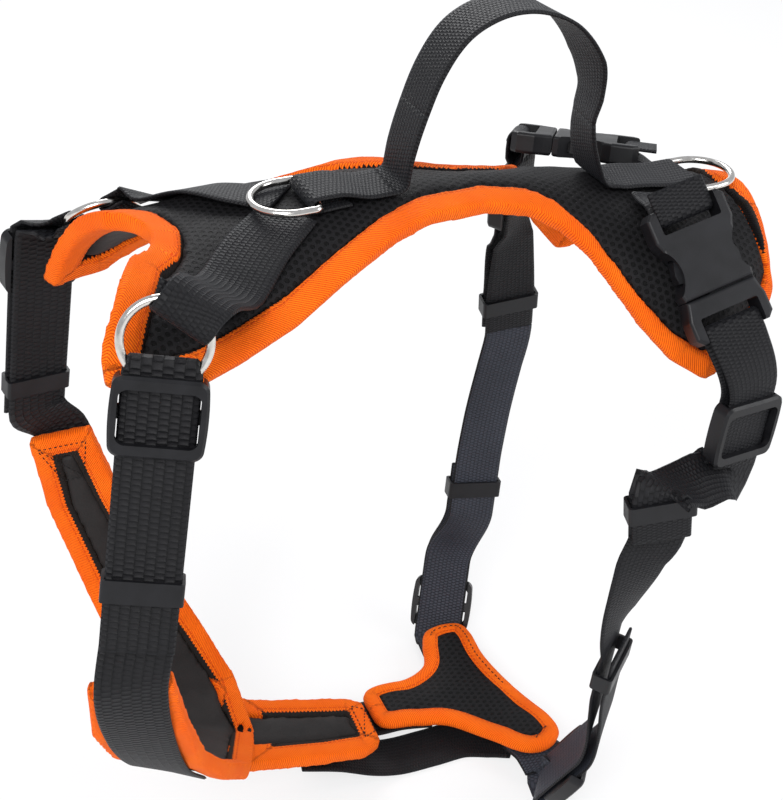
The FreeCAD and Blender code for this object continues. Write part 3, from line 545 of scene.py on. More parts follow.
def nearest_edge(spots, lines):
    """For each spot: run along the nearest edge, distance from it in the cloth, lift, normal."""
    places, outward, run = [], [], []
    offset = 0.0
    for points, normals in lines:
        some, facing, lengths = dense_line(points, normals)
        places += some
        outward += facing
        run += [offset + length for length in lengths]
        offset = run[-1] + 5.0
    places = np.array([list(p) for p in places])
    outward = np.array([list(n) for n in outward])
    run = np.array(run)
    found = np.zeros(len(spots), int)
    for start in range(0, len(spots), 2000):
        part = spots[start:start + 2000]
        gaps = ((part[:, None, :] - places[None, :, :]) ** 2).sum(2)
        found[start:start + 2000] = gaps.argmin(1)
    away = spots - places[found]
    facing = outward[found]
    lift = (away * facing).sum(1)
    flat = away - facing * lift[:, None]
    tangent = np.gradient(places, axis=0)[found]
    tangent /= np.maximum(np.linalg.norm(tangent, axis=1), 1e-6)[:, None]
    beside = (flat * tangent).sum(1)
    across = np.linalg.norm(flat - tangent * beside[:, None], axis=1)
    return run[found] + np.clip(beside, -1.5, 1.5), across, lift, facing


def far_rise(x, y):
    """How much the far side of the waist stands up, as worn cloth does."""
    along_spine = np.clip((x + 88) / 30, 0, 1) * np.clip((58 - x) / 40, 0, 1)
    return 5.5 * along_spine * np.clip((y - 6) / 24, 0, 1) ** 1.3


def raised(node, spots):
    if node.startswith("back_panel"):
        spots[:, 2] += far_rise(spots[:, 0], spots[:, 1])
    return spots


def bound_edge(node, lines, material, edge, voxel=1.3):
    """Puffy ribbed binding: rounded copy of the solid, flat past its stitches, puckered."""
    obj = soft_copy(node, voxel, 9, 0.35)
    spots = spots_of(obj)
    run, across, lift, facing = nearest_edge(spots, lines)
    flatter = np.clip((across - edge + 0.6) / 1.2, 0, 1) * 0.26
    spots = raised(node, spots - facing * (lift * flatter)[:, None])
    pucker = np.array([noise.noise(Vector((r * 0.16, a * 0.05, 3.1))) for r, a in zip(run, across)])
    swell = np.exp(-((across - 4.5) / 3.2) ** 2)
    set_spots(obj, spots + vertex_rows(obj, "normal") * (0.35 * pucker * swell)[:, None])
    set_cloth(obj, run, across)
    new_materials(obj, [material])
    stand_in(obj, node)


def face_both_ways(obj, facing, outer, inner):
    """Outer cloth on the faces that look outward, lining on the others."""
    new_materials(obj, [outer, inner])
    for polygon in obj.data.polygons:
        outward = Vector(facing[polygon.vertices[0]])
        polygon.material_index = 0 if polygon.normal.dot(outward) > 0.05 else 1


def quilted(node, lines, pattern, voxel=1.8, crown=0.5):
    """Foam panel: rounded copy of the solid, fuller towards its middle."""
    obj = soft_copy(node, voxel, 5, 0.15)
    spots = spots_of(obj)
    _, across, _, facing = nearest_edge(spots, lines)
    spots = raised(node, spots)
    fullness = np.clip((across - BINDING) / 8, 0, 1)
    rumple = np.array([noise.noise(Vector(s * 0.045)) for s in spots])
    swell = fullness * (crown + 0.4 * rumple)
    set_spots(obj, spots + vertex_rows(obj, "normal") * swell[:, None])
    set_cloth(obj, *pattern(spots))
    face_both_ways(obj, facing, AIR_MESH, LINING)
    stand_in(obj, node)


# ---------------- materials
def new_material(name):
    material = bpy.data.materials.new(name)
    material.use_nodes = True
    tree = material.node_tree
    return material, tree, tree.nodes["Principled BSDF"]


def calc(tree, operation, *values):
    """Math node fed with numbers or sockets; gives its result socket."""
    node = tree.nodes.new("ShaderNodeMath")
    node.operation = operation
    for i, value in enumerate(values):
        if isinstance(value, (int, float)):
            node.inputs[i].default_value = value
        else:
            tree.links.new(value, node.inputs[i])
    return node.outputs[0]


def times(tree, one, other):
    return calc(tree, "MULTIPLY", one, other)


def plus(tree, one, other):
    return calc(tree, "ADD", one, other)


def pulse(tree, value, pitch):
    """Rounded bump that repeats with a pitch, from 0 to 1."""
    turned = times(tree, value, math.pi / pitch)
    return calc(tree, "ABSOLUTE", calc(tree, "SINE", turned))


def blend_colour(tree, amount, low, high):
    node = tree.nodes.new("ShaderNodeMix")
    node.data_type = "RGBA"
    tree.links.new(amount, node.inputs[0])
    for socket, colour in ((node.inputs[6], low), (node.inputs[7], high)):
        if isinstance(colour, tuple):
            socket.default_value = (*colour, 1)
        else:
            tree.links.new(colour, socket)
    return node.outputs[2]


def paint(tree, shader, amount, low, high):
    tree.links.new(blend_colour(tree, amount, low, high), shader.inputs["Base Color"])


def mottle(tree, shader, noisy, low, high):
    """Colour between two, following a noise."""
    paint(tree, shader, span(tree, noisy, 0.3, 0.7), low, high)


def cloud(tree, scale, detail=3.0):
    """Noise fixed to the piece, in metres."""
    node = tree.nodes.new("ShaderNodeTexNoise")
    node.inputs["Scale"].default_value = scale
    node.inputs["Detail"].default_value = detail
    tree.links.new(tree.nodes.new("ShaderNodeTexCoord").outputs["Object"], node.inputs["Vector"])
    return node.outputs["Fac"]


def span(tree, value, low, high, start=0.0, end=1.0):
    node = tree.nodes.new("ShaderNodeMapRange")
    tree.links.new(value, node.inputs["Value"])
    for name, number in (("From Min", low), ("From Max", high), ("To Min", start), ("To Max", end)):
        node.inputs[name].default_value = number
    return node.outputs["Result"]


def bump(tree, shader, height, depth, strength=1.0):
    node = tree.nodes.new("ShaderNodeBump")
    node.inputs["Strength"].default_value = strength
    node.inputs["Distance"].default_value = depth * MM
    tree.links.new(height, node.inputs["Height"])
    tree.links.new(node.outputs["Normal"], shader.inputs["Normal"])


def lengths(tree, source):
    """Two lengths in millimetres, from the weave's UV or from the cloth attribute."""
    if source == "weave":
        node = tree.nodes.new("ShaderNodeUVMap")
        node.uv_map = "weave"
        vector = node.outputs[0]
    else:
        node = tree.nodes.new("ShaderNodeAttribute")
        node.attribute_name = "cloth"
        vector = node.outputs["Vector"]
    split = tree.nodes.new("ShaderNodeSeparateXYZ")
    tree.links.new(vector, split.inputs[0])
    return split.outputs[0], split.outputs[1]


def cloth_finish(shader, roughness, gloss, sheen, tint):
    shader.inputs["Roughness"].default_value = roughness
    shader.inputs["Specular IOR Level"].default_value = gloss
    shader.inputs["Sheen Weight"].default_value = sheen
    shader.inputs["Sheen Roughness"].default_value = 0.5
    shader.inputs["Sheen Tint"].default_value = (*tint, 1)


def webbing_material(name, column, rib, depth, low, high):
    """Woven strap: columns across, ribs along, every second column shifted; painted shade darkens
    the gaps between them.
    """
    material, tree, shader = new_material(name)
    across, run = lengths(tree, "weave")
    step = calc(tree, "FLOOR", calc(tree, "DIVIDE", plus(tree, across, 60 * column), column))
    odd = calc(tree, "MODULO", step, 2.0)
    wander = times(tree, cloud(tree, 260, 2), 0.25 * rib)
    stagger = plus(tree, times(tree, odd, 0.5 * rib), wander)
    shifted = plus(tree, run, stagger)
    ribs = calc(tree, "POWER", pulse(tree, shifted, rib), 0.6)
    columns = calc(tree, "POWER", pulse(tree, across, column), 0.35)
    height = times(tree, ribs, columns)
    fibre = cloud(tree, 3200, 2)
    height = plus(tree, height, times(tree, fibre, 0.25))
    patches = span(tree, cloud(tree, 45), 0.3, 0.7, 0.65, 1.0)
    # Painted shade: the low places of the weave get the dark colour and its raised crowns the
    # lighter one.
    tone = times(tree, span(tree, height, 0.15, 1.1), patches)
    paint(tree, shader, tone, low, high)
    bump(tree, shader, height, depth)
    cloth_finish(shader, 0.55, 0.22, 0.02, (0.7, 0.75, 0.9))
    return material


def knit_material(name, edge, inside):
    """Orange ribbed binding with slanting ribs, painted shade in the rib valleys, a stitch line and
    a toothed inner edge.
    """
    material, tree, shader = new_material(name)
    run, across = lengths(tree, "cloth")
    slanted = plus(tree, run, times(tree, across, 0.8))
    ribs = calc(tree, "POWER", pulse(tree, slanted, 1.05), 0.7)
    fibre = cloud(tree, 2600, 2)
    dash = span(tree, pulse(tree, run, 2.6), 0.35, 0.5)
    off_line = calc(tree, "ABSOLUTE", calc(tree, "SUBTRACT", across, edge - 1.1))
    thread = times(tree, span(tree, off_line, 0.15, 0.45, 1.0, 0.0), dash)
    groove = span(tree, off_line, 0.2, 1.5, 1.0, 0.0)
    teeth = times(tree, pulse(tree, run, 1.9), 0.7)
    inner = span(tree, calc(tree, "SUBTRACT", across, teeth), edge - 0.1, edge + 0.1)
    patches = span(tree, cloud(tree, 55, 3), 0.3, 0.7)
    base = blend_colour(tree, patches, (0.94, 0.140, 0.002), (1.0, 0.185, 0.004))
    # Painted shade: the rib valleys get a darker, redder orange.
    valley_shade = blend_colour(tree, span(tree, ribs, 0.25, 0.95), (0.66, 0.055, 0.001), base)
    seam = blend_colour(tree, thread, valley_shade, (0.66, 0.070, 0.003))
    paint(tree, shader, inner, seam, inside)
    height = plus(tree, ribs, times(tree, fibre, 0.3))
    height = calc(tree, "SUBTRACT", height, times(tree, groove, 1.6))
    height = plus(tree, height, times(tree, thread, 0.8))
    bump(tree, shader, height, 0.24)
    cloth_finish(shader, 0.8, 0.15, 0.05, (1.0, 0.55, 0.3))
    return material


def mesh_material():
    """Black spacer mesh: rows of six sided holes about three millimetres apart, with painted shade
    in the holes.
    """
    material, tree, shader = new_material("air_mesh")
    first, second = lengths(tree, "cloth")
    pitch = 3.1
    waves = []
    for degrees in (0, 60, 120):
        a = math.radians(degrees)
        line = plus(tree, times(tree, first, math.cos(a)), times(tree, second, math.sin(a)))
        turned = times(tree, line, 2 * math.pi / (pitch * math.cos(math.pi / 6)))
        waves.append(calc(tree, "COSINE", turned))
    total = plus(tree, waves[0], plus(tree, waves[1], waves[2]))
    thread = span(tree, total, 0.9, 0.1)
    fibre = cloud(tree, 2400, 2)
    height = plus(tree, thread, times(tree, fibre, 0.25))
    # Painted shade: the holes get the near black colour and the threads between them the lighter
    # one.
    tone = times(tree, thread, span(tree, fibre, 0.3, 0.7, 0.6, 1.0))
    paint(tree, shader, tone, (0.001, 0.001, 0.001), (0.0095, 0.009, 0.010))
    bump(tree, shader, height, 0.8)
    cloth_finish(shader, 0.6, 0.15, 0.015, (0.8, 0.8, 0.9))
    return material


def lining_material():
    """Smooth grey brown lining with a very fine weave and soft creases, with painted shade in the
    creases.
    """
    material, tree, shader = new_material("lining")
    fine = cloud(tree, 1900, 2)
    crease = cloud(tree, 70, 3)
    # Painted shade in the creases' hollows, mixed with a random fine weave tone.
    tone = plus(tree, times(tree, fine, 0.5), times(tree, crease, 0.5))
    mottle(tree, shader, tone, (0.009, 0.008, 0.008), (0.021, 0.0185, 0.018))
    height = plus(tree, times(tree, fine, 0.1), crease)
    bump(tree, shader, height, 1.4, 0.6)
    cloth_finish(shader, 0.6, 0.2, 0.03, (0.9, 0.85, 0.8))
    return material


def plastic_material():
    """Moulded charcoal plastic: spark eroded grain, and worn patches following a noise that vary
    its shade and its shine.
    """
    material, tree, shader = new_material("moulded_plastic")
    grain = cloud(tree, 2600, 2)
    worn = cloud(tree, 120, 4)
    mottle(tree, shader, worn, (0.0055, 0.0055, 0.0065), (0.010, 0.010, 0.012))
    tree.links.new(span(tree, worn, 0.25, 0.75, 0.36, 0.50), shader.inputs["Roughness"])
    shader.inputs["Specular IOR Level"].default_value = 0.3
    bump(tree, shader, grain, 0.05, 0.5)
    return material


def nickel_material():
    """Polished plated wire with faint drawing marks."""
    material, tree, shader = new_material("nickel")
    shader.inputs["Metallic"].default_value = 1.0
    marks = cloud(tree, 420, 4)
    mottle(tree, shader, marks, (0.66, 0.63, 0.59), (0.80, 0.78, 0.74))
    tree.links.new(span(tree, marks, 0.3, 0.7, 0.10, 0.20), shader.inputs["Roughness"])
    bump(tree, shader, cloud(tree, 900, 3), 0.02, 0.4)
    return material


def thread_material():
    """Waxed black sewing thread with a fine twist."""
    material, tree, shader = new_material("black_thread")
    twist = cloud(tree, 4200, 2)
    mottle(tree, shader, twist, (0.003, 0.003, 0.003), (0.012, 0.011, 0.011))
    bump(tree, shader, twist, 0.1)
    cloth_finish(shader, 0.5, 0.25, 0.0, (1, 1, 1))
    return material


THREAD = thread_material()
WIDE_EDGE, NARROW_EDGE = 10.0, 8.2
ORANGE = knit_material("orange_knit", WIDE_EDGE, (0.004, 0.004, 0.005))
NARROW = knit_material("narrow_orange_knit", NARROW_EDGE, (0.013, 0.0115, 0.011))
AIR_MESH = mesh_material()
LINING = lining_material()
PLASTIC = plastic_material()
NICKEL = nickel_material()
# Painted shade: the colour given to the webbing's weave gaps.
WEAVE_GAP_SHADE = (0.0015, 0.0015, 0.002)
HEAVY = webbing_material("heavy_webbing", 3.5, 2.2, 0.5, WEAVE_GAP_SHADE, (0.011, 0.0105, 0.012))
FINE = webbing_material("fine_webbing", 2.1, 1.5, 0.3, WEAVE_GAP_SHADE, (0.010, 0.0098, 0.0115))
# Painted sheen: a paler, bluish copy of the fine webbing for the belly straps' inner faces.
SHEEN_WEBBING = webbing_material("painted_sheen_webbing", 2.1, 1.6, 0.3, (0.010, 0.011, 0.015), (0.045, 0.050, 0.066))


# ---------------- panels
def back_pattern(spots):
    """Lengths along the spine and round the flank."""
    xs = np.array([row[0] for row in BACK], float)
    radii = []
    for column in (1, 2):
        radii.append(np.array([flank(row[column][1], row[column][2])[0] for row in BACK]))
    tops = np.array([(row[1][0] + row[2][0]) / 2 - MIDDLE for row in BACK])
    left = np.interp(spots[:, 0], xs, radii[0])
    right = np.interp(spots[:, 0], xs, radii[1])
    radius = np.where(spots[:, 1] < 0, left, right)
    down = radius - (np.interp(spots[:, 0], xs, tops) - spots[:, 2])
    return spots[:, 0], radius * np.arctan2(spots[:, 1], np.maximum(down, 1.0))


def flat_pattern(spots):
    return spots[:, 0] * 0.8 + spots[:, 2] * 0.6, spots[:, 1]


sling_stations, sling_widths = wide_drape(SLING)
tail_stations, tail_widths = wide_drape(TAIL)
edges = back_edges()
quilted("back_panel", edges, back_pattern)
bound_edge("back_panel_binding", edges, ORANGE, WIDE_EDGE)
edges = (strip_edges(sling_stations, sling_widths, True, True)
         + strip_edges(tail_stations, tail_widths, False, True))
quilted("chest_panel", edges, flat_pattern)
bound_edge("chest_panel_binding", edges, NARROW, NARROW_EDGE)


# ---------------- belly pad
# Rounded three-lobed outline, seen from above, going round once.
PAD_OUTLINE = [
    (9.5, 18), (10.5, 28), (18, 32.5), (36, 33), (49, 39), (54, 51), (59, 59.5), (69, 61.5),
    (79, 58.5), (82, 50), (82, 34), (85.5, 12), (90, -8), (93, -22), (92, -32), (84, -38.5),
    (74, -38), (66, -31), (57, -17), (45, -3), (31, 2), (17, 4), (10.5, 8.5),
]
PAD_BORDER = NARROW_EDGE
PAD_CLOTH = 2.6
PAD_HUB = (61.0, 18.0)
PAD_EASE = 60
PAD_SEAM = 4.4
BORDER_LIFT = 3.6
# Section of the border's upper side: in from the edge, above the middle.
BORDER_SIDE = [(PAD_BORDER, 2.4), (8.0, 2.9), (7.0, 3.3), (5.0, BORDER_LIFT), (3.2, 3.5),
               (1.6, 2.9), (0.5, 1.7)]
# Rows of the lining: share of the way to the hub, and how much fuller there.
LINING_ROWS = [(0.9, 1.2), (0.7, 1.1), (0.5, 0.9), (0.32, 0.7), (0.18, 0.4), (0.08, 0.1),
               (0.0, 0.0)]


def pad_height(x, y):
    """Middle of the pad above the floor, from the model's stations, the near ones most."""
    total, weights = 0.0, 0.0
    for px, py, pz in PAD_LEVELS:
        weight = 1 / ((px - x) ** 2 + (py - y) ** 2 + PAD_EASE) ** 2
        total += weight * pz
        weights += weight
    return total / weights


def smooth_ring(points, per_side=8):
    """Close points on a smooth closed line through the given ones."""
    ring = []
    count = len(points)
    for i in range(count):
        p0, p1, p2, p3 = (Vector(points[(i + k) % count]) for k in (-1, 0, 1, 2))
        for step in range(per_side):
            t = step / per_side
            ring.append(0.5 * (p1 * 2 + (p2 - p0) * t + (p0 * 2 - p1 * 5 + p2 * 4 - p3) * t * t
                               + (p1 * 3 - p0 - p2 * 3 + p3) * t * t * t))
    return ring


def inward(ring, i):
    """Unit direction from the outline towards the pad, at right angles to it."""
    ahead = ring[(i + 1) % len(ring)] - ring[i - 1]
    return Vector((ahead.y, -ahead.x)).normalized()


def closed_skin(name, rows, capped):
    """Closed mesh through equal rows of points; capped at its first and last, or joined round."""
    count = len(rows[0])
    vertices = [(point + ORIGIN) * MM for row in rows for point in row]
    faces = []
    if capped:
        faces += [tuple(reversed(range(count))),
                  tuple((len(rows) - 1) * count + i for i in range(count))]
    for j in range(len(rows) - capped):
        for i in range(count):
            a, b = j * count + i, j * count + (i + 1) % count
            up = ((j + 1) % len(rows)) * count
            faces.append((a, b, up + (i + 1) % count, up + i))
    mesh = bpy.data.meshes.new(name)
    mesh.from_pydata(vertices, [], faces)
    smooth_faces(mesh)
    editable = bmesh.new()
    editable.from_mesh(mesh)
    bmesh.ops.recalc_face_normals(editable, faces=editable.faces)
    editable.to_mesh(mesh)
    editable.free()
    return new_object(name, mesh)


def pad_point(flat, lift):
    return Vector((flat.x, flat.y, pad_height(flat.x, flat.y) + lift))


def pad_inset(i, inset):
    """Point of the pad seen from above, in from the edge at one point of its outline."""
    return pad_ring[i] + inward(pad_ring, i) * inset


def border_row(inset, lift, wrinkle=0.25):
    row = []
    for i in range(len(pad_ring)):
        flat = pad_inset(i, inset)
        pucker = wrinkle * noise.noise(Vector((flat.x * 0.16, flat.y * 0.16, inset * 0.1)))
        row.append(pad_point(flat, lift + math.copysign(pucker, lift)))
    return row


def toward_hub(share):
    """The line that the border covers by a millimetre, drawn in to the hub by a share."""
    hub = Vector(PAD_HUB)
    return [pad_inset(i, PAD_BORDER - 1.0).lerp(hub, share) for i in range(len(pad_ring))]


def lining_row(share, crown):
    row = []
    for spot in toward_hub(share):
        rumple = 0.5 * noise.noise(Vector((spot.x, spot.y, 2)) * 0.07)
        row.append(pad_point(spot, PAD_CLOTH + crown + rumple))
    return row


def under_row(share):
    return [pad_point(spot, -PAD_CLOTH) for spot in toward_hub(share)]


def pad_surface(u, v):
    """Point and normal on the pad's border: u along its outline, v in from the edge."""
    i = int(u)
    edge = pad_ring[i % len(pad_ring)].lerp(pad_ring[(i + 1) % len(pad_ring)], u - i)
    flat = edge + inward(pad_ring, i % len(pad_ring)) * v
    return pad_point(flat, BORDER_LIFT), Vector((0, 0, 1))


pad_ring = smooth_ring(PAD_OUTLINE)
pad_run = [0.0]
for here, ahead in zip(pad_ring, pad_ring[1:]):
    pad_run.append(pad_run[-1] + (ahead - here).length)

border = BORDER_SIDE + [(0.0, 0.0)] + [(inset, -lift) for inset, lift in reversed(BORDER_SIDE)]
pad_binding = closed_skin("belly_pad_binding_cloth", [border_row(d, h) for d, h in border], False)
set_cloth(pad_binding, np.array(pad_run * len(border)),
          np.repeat([d for d, _ in border], len(pad_ring)))
new_materials(pad_binding, [NARROW])
stand_in(pad_binding, "belly_pad_binding")

upper = [lining_row(share, crown) for share, crown in LINING_ROWS]
lower = [under_row(share) for share, _ in reversed(LINING_ROWS)]
pad = closed_skin("belly_pad_cloth", upper + lower, True)
set_cloth(pad, *flat_pattern(spots_of(pad)))
new_materials(pad, [LINING, AIR_MESH])
for polygon in pad.data.polygons:
    polygon.material_index = 0 if polygon.normal.z > 0 else 1
stand_in(pad, "belly_pad")


# ---------------- stitch figures
def dash_tube(start, end, normal, radius=0.28, rings=5, sides=6):
    """One stitch: a short thread that dips into the cloth at both ends."""
    vertices, faces = [], []
    side = normal.cross(end - start).normalized()
    for i in range(rings):
        t = i / (rings - 1)
        swell = radius * (0.55 + 0.45 * math.sin(math.pi * t))
        centre = start.lerp(end, t) + normal * (0.45 * math.sin(math.pi * t) - 0.15)
        for k in range(sides):
            a = 2 * math.pi * k / sides
            vertices.append(centre + side * (swell * math.cos(a)) + normal * (swell * math.sin(a)))
    for i in range(rings - 1):
        for k in range(sides):
            a, b = i * sides + k, i * sides + (k + 1) % sides
            faces.append((a, b, b + sides, a + sides))
    return vertices, faces


def stitch_line(name, lines, on_surface, pitch=2.6, share=0.68):
    """Rows of stitches; on_surface gives the point and normal for two coordinates."""
    vertices, faces = [], []
    for line in lines:
        for (u0, v0), (u1, v1) in zip(line, line[1:]):
            p, _ = on_surface(u0, v0)
            q, _ = on_surface(u1, v1)
            count = max(1, round((q - p).length / pitch))
            for k in range(count):
                a, b = k / count, (k + share) / count
                start, normal = on_surface(u0 + (u1 - u0) * a, v0 + (v1 - v0) * a)
                end, _ = on_surface(u0 + (u1 - u0) * b, v0 + (v1 - v0) * b)
                some, quads = dash_tube(start, end, normal)
                offset = len(vertices)
                vertices += [(v + ORIGIN) * MM for v in some]
                faces += [tuple(offset + i for i in quad) for quad in quads]
    mesh = bpy.data.meshes.new(name)
    mesh.from_pydata(vertices, [], faces)
    smooth_faces(mesh)
    obj = new_object(name, mesh, [THREAD])
    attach(obj, "harness")
    return obj


def strip_surface(stations, widths, lift):
    """Point and normal on a padded strip: u along its stations, v across from -1 to 1."""
    def on_surface(u, v):
        i = min(max(int(u), 0), len(stations) - 2)
        t = u - i
        spots = []
        for station, width in ((stations[i], widths[i]), (stations[i + 1], widths[i + 1])):
            spots.append(station @ Vector((0, v * width / 2, lift)))
        normal = axis(stations[i], 2).lerp(axis(stations[i + 1], 2), t).normalized()
        return spots[0].lerp(spots[1], t), normal * (1 if lift > 0 else -1)
    return on_surface


INSIDE = -(HALF_BINDING + 0.25)
last = len(sling_stations) - 1
arms = strip_surface(sling_stations, sling_widths, INSIDE)
stitch_line("far_arm_stitches", [
    [(last - 0.12, -0.78), (last - 0.12, 0.78), (last - 0.62, 0.30), (last - 0.62, -0.30),
     (last - 0.12, -0.78)],
    [(last - 0.14, -0.70), (last - 0.60, 0.28)],
], arms)
stitch_line("near_arm_stitches", [[(0.10, -0.75), (0.10, 0.75)], [(0.42, -0.75), (0.42, 0.75)]],
            arms)
tail_end = strip_surface(tail_stations, tail_widths, INSIDE)
stitch_line("chest_tail_stitches", [
    [(3.9, -0.55), (3.9, 0.55), (3.1, 0.62), (3.1, -0.62), (3.9, -0.55)],
    [(3.9, -0.50), (3.1, 0.55)],
], tail_end)
stitch_line("belly_edge_stitches", [[(u, PAD_SEAM) for u in range(44, 92, 3)]], pad_surface)
stitch_line("belly_corner_stitches", [[(110, 6.5), (114, 8.5), (118, 9.5), (122, 8.0), (126, 5.0)]],
            pad_surface)


# ---------------- shoulders
def widths_of(count, bunched):
    return [BUNCHED if i in bunched else WIDTH for i in range(count)]


def yoke_row(side, sign):
    """Webbing from its loop on the ring up the arm, to end under the front lead ring."""
    at, run, outward = RINGS[side]
    swing, tilt, middle, centre, radius = YOKE_LOOP[side]
    back = seat(at, -Vector(run), outward) @ Matrix.Rotation(math.radians(swing), 4, "Z")
    leaning = along(back @ Matrix.Rotation(math.radians(tilt), 4, "Y"), 0, middle)
    turn = turned_over(fold(leaning, centre, radius))
    row = [along(leaning, PAST_RING, -radius, 180)] + turn
    if side == "right":
        row.append(along(leaning, PAST_RING, radius))
    widths = widths_of(len(row), range(1, 1 + len(turn)))
    spots = YOKE_ON_PANEL[side]
    points = [back_spot(x, sign * share, MIDDLE + ON_CLOTH) for x, share in spots]
    for point in points:
        point.z += far_rise(point.x, point.y)
    for i, (x, share) in enumerate(spots):
        ahead = points[min(i + 1, len(points) - 1)] - points[max(i - 1, 0)]
        row.append(seat(points[i], ahead, back_normal(x, sign * share)))
        widths.append(WIDTH)
    return row, widths


for side, sign in SIDES.items():
    ring = seat(*RINGS[side])
    line = seat(*SHOULDER[side])
    stations = [along(line, TAIL_AT[side], HALF_PITCH, 180),
                along(line, SHOULDER_BEND, HALF_PITCH, 180)]
    turn = fold(ring, FOLD_AT, HALF_PITCH)
    if side == "right":
        turn = [along(ring, PAST_RING, HALF_PITCH, 180)] + turn
        turn.append(along(ring, PAST_RING, -HALF_PITCH))
    stations += turn
    stations += [along(line, SHOULDER_BEND, -HALF_PITCH),
                 along(line, TAIL_AT[side] - 4, -HALF_PITCH)]
    arm = sling_stations[:4] if side == "left" else sling_stations[::-1][:3]
    spots = [(s @ Vector((0, 0, BELOW)), axis(s, 2)) for s in arm]
    stations += drape([(stations[-1].translation, spots[0][1])] + spots)[1:]
    widths = [w + 1.2 for w in widths_of(len(stations), range(2, 2 + len(turn)))]
    webbing(f"{side}_shoulder_strap", [(stations, widths)], HEAVY)

    webbing(f"{side}_yoke_webbing", [yoke_row(side, sign)], FINE)


# ---------------- spine and handle
def spine(x, lift):
    return on_back(x, 0.0, lift)


for end, (bar_x, forward) in DEES.items():
    bar = spine(bar_x, DEE_LIFT)
    up = axis(bar, 2)
    ahead = axis(bar, 0) * forward
    loop = seat(bar.translation, ahead, up)
    foot = HANDLE_FOOT[end]
    on_top = [spine(foot + forward * back, ON_CLOTH) for back in (0, -8)]
    stations = [seat(s.translation, axis(s, 0) * -forward, up) for s in on_top]
    stations += [along(loop, 8, HALF_PITCH, 180)] + fold(loop, 0, HALF_PITCH)
    under = spine(bar_x + forward * 13, GAP + THICK / 2)
    stations.append(seat(under.translation, axis(under, 0) * forward, up))
    webbing(f"{end}_spine_webbing", [equal(stations)], FINE)

points = [Vector((x, 0, z)) for (x, z), _ in HANDLE]
strip = []
for i, (_, across) in enumerate(HANDLE):
    run = points[min(i + 1, len(points) - 1)] - points[max(i - 1, 0)]
    strip.append(seat_across(points[i], run, across))
feet = [spine(HANDLE_FOOT[end], ON_CLOTH) for end in ("front", "rear")]
strip = feet[:1] + strip + feet[1:]
front_root = webbing("handle_front_root", [equal(strip[:4])], FINE, ride=False)
webbing("handle_webbing", [equal(strip[3:-3])], FINE)
rear_root = webbing("handle_rear_root", [equal(strip[-4:])], FINE, ride=False)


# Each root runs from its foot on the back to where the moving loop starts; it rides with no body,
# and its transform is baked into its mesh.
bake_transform(front_root)
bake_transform(rear_root)


# ---------------- girth straps
for side, sign in SIDES.items():
    buckle = seat(*BUCKLE[side])
    upper = seat(*GIRTH_SLIDER[side])
    held = seat(*GIRTH_KEEPER[side])
    turns = [(seat(p, r, n), w) for p, n, r, w in GIRTH_BEND[side]]

    def layer(lift, back):
        turn = 180 if back else 0
        row = [(along(upper, GIRTH_STRAIGHT, lift, turn), WIDTH)]
        row += [(along(s, 0, lift, turn), w) for s, w in turns]
        row += [(along(held, u, lift, turn), WIDTH) for u in (HELD_START, HELD_END)]
        return row[::-1] if back else row

    if side == "left":
        bar = along(buckle, BAR_CENTRE, 0)
        reach, lift = 5.5, HALF_PITCH
    else:
        bar = seat_across(along(buckle, BAR_CENTRE + 1.4, 0).translation,
                          -axis(buckle, 2), -axis(buckle, 1))
        reach, lift = 6.5, HALF_PITCH + 1.0
    loop = [along(bar, reach, lift, 180)] + fold(bar, 0, lift) + [along(bar, reach, -lift)]
    rows = layer(HALF_PITCH, True) + [(along(upper, LOOP_START, HALF_PITCH, 180), WIDTH)]
    rows += [(s, WIDTH) for s in loop]
    rows += [(along(upper, LOOP_START, -HALF_PITCH), WIDTH)] + layer(-HALF_PITCH, False)
    girth = webbing(f"{side}_girth_strap", [([s for s, _ in rows], [w for _, w in rows])], FINE,
                    ride=False)
    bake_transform(girth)

    low_keeper = seat(*LOWER_KEEPER[side])
    low_slider = seat(*LOWER_SLIDER[side])
    rows = [along(held, HELD_END, -HALF_PITCH)]
    spots = [(rows[0].translation, GIRTH_KEEPER[side][2])] + BELLY_FALL[side]
    spots.append((low_keeper.translation, LOWER_KEEPER[side][2]))
    rows += [along(s, 0, -HALF_PITCH) for s in drape(spots)[1:-1]]
    passed = [(low_keeper, KEEPER_END), (low_slider, SLIDER_START), (low_slider, SLIDER_END)]
    rows += [along(s, u, -HALF_PITCH) for s, u in [(low_keeper, -KEEPER_END)] + passed]
    rows += drape([(rows[-1].translation, LOWER_SLIDER[side][2])] + BELLY_FOOT[side])[1:]
    tail = [along(s, u, HALF_PITCH) for s, u in [(low_keeper, 1 - KEEPER_END)] + passed]
    tail.append(along(rows[-3], 0, THICK + 0.1))
    # The belly straps' inner faces get the painted sheen copy of the webbing.
    webbing(f"{side}_belly_strap", [equal(rows), equal(tail)], FINE, SHEEN_WEBBING)

    bar = along(buckle, SOCKET_BAR, 0)
    back = seat(bar.translation, -axis(bar, 0), axis(bar, 2))
    stations = [along(back, 11, HALF_PITCH, 180)] + fold(back, 0, HALF_PITCH)
    stations.append(along(back, 2, -HALF_PITCH))
    x, share, lift, run = CROSS_END[side]
    stations.append(on_back(x, share, lift, run))
    webbing(f"{side}_cross_webbing", [equal(stations)], FINE)

webbing("belly_link_webbing", [equal(drape(LINK))], FINE)
webbing("belly_loop_webbing", [equal(drape(LOOP))], FINE)


# ---------------- hardware kept from the model
for node, obj in frame["nodes"].items():
    if obj.hide_render:
        continue
    obj.data.materials.clear()
    obj.data.materials.append(NICKEL if node.endswith("_ring") else PLASTIC)


# ---------------- floor, light and camera
def blend_out(tree, amount, first, second, output):
    """Blends two shaders by an amount, into the tree's output."""
    node = tree.nodes.new("ShaderNodeMixShader")
    for i, socket in enumerate((amount, first.outputs[0], second.outputs[0])):
        tree.links.new(socket, node.inputs[i])
    tree.links.new(node.outputs[0], tree.nodes[output].inputs["Surface"])


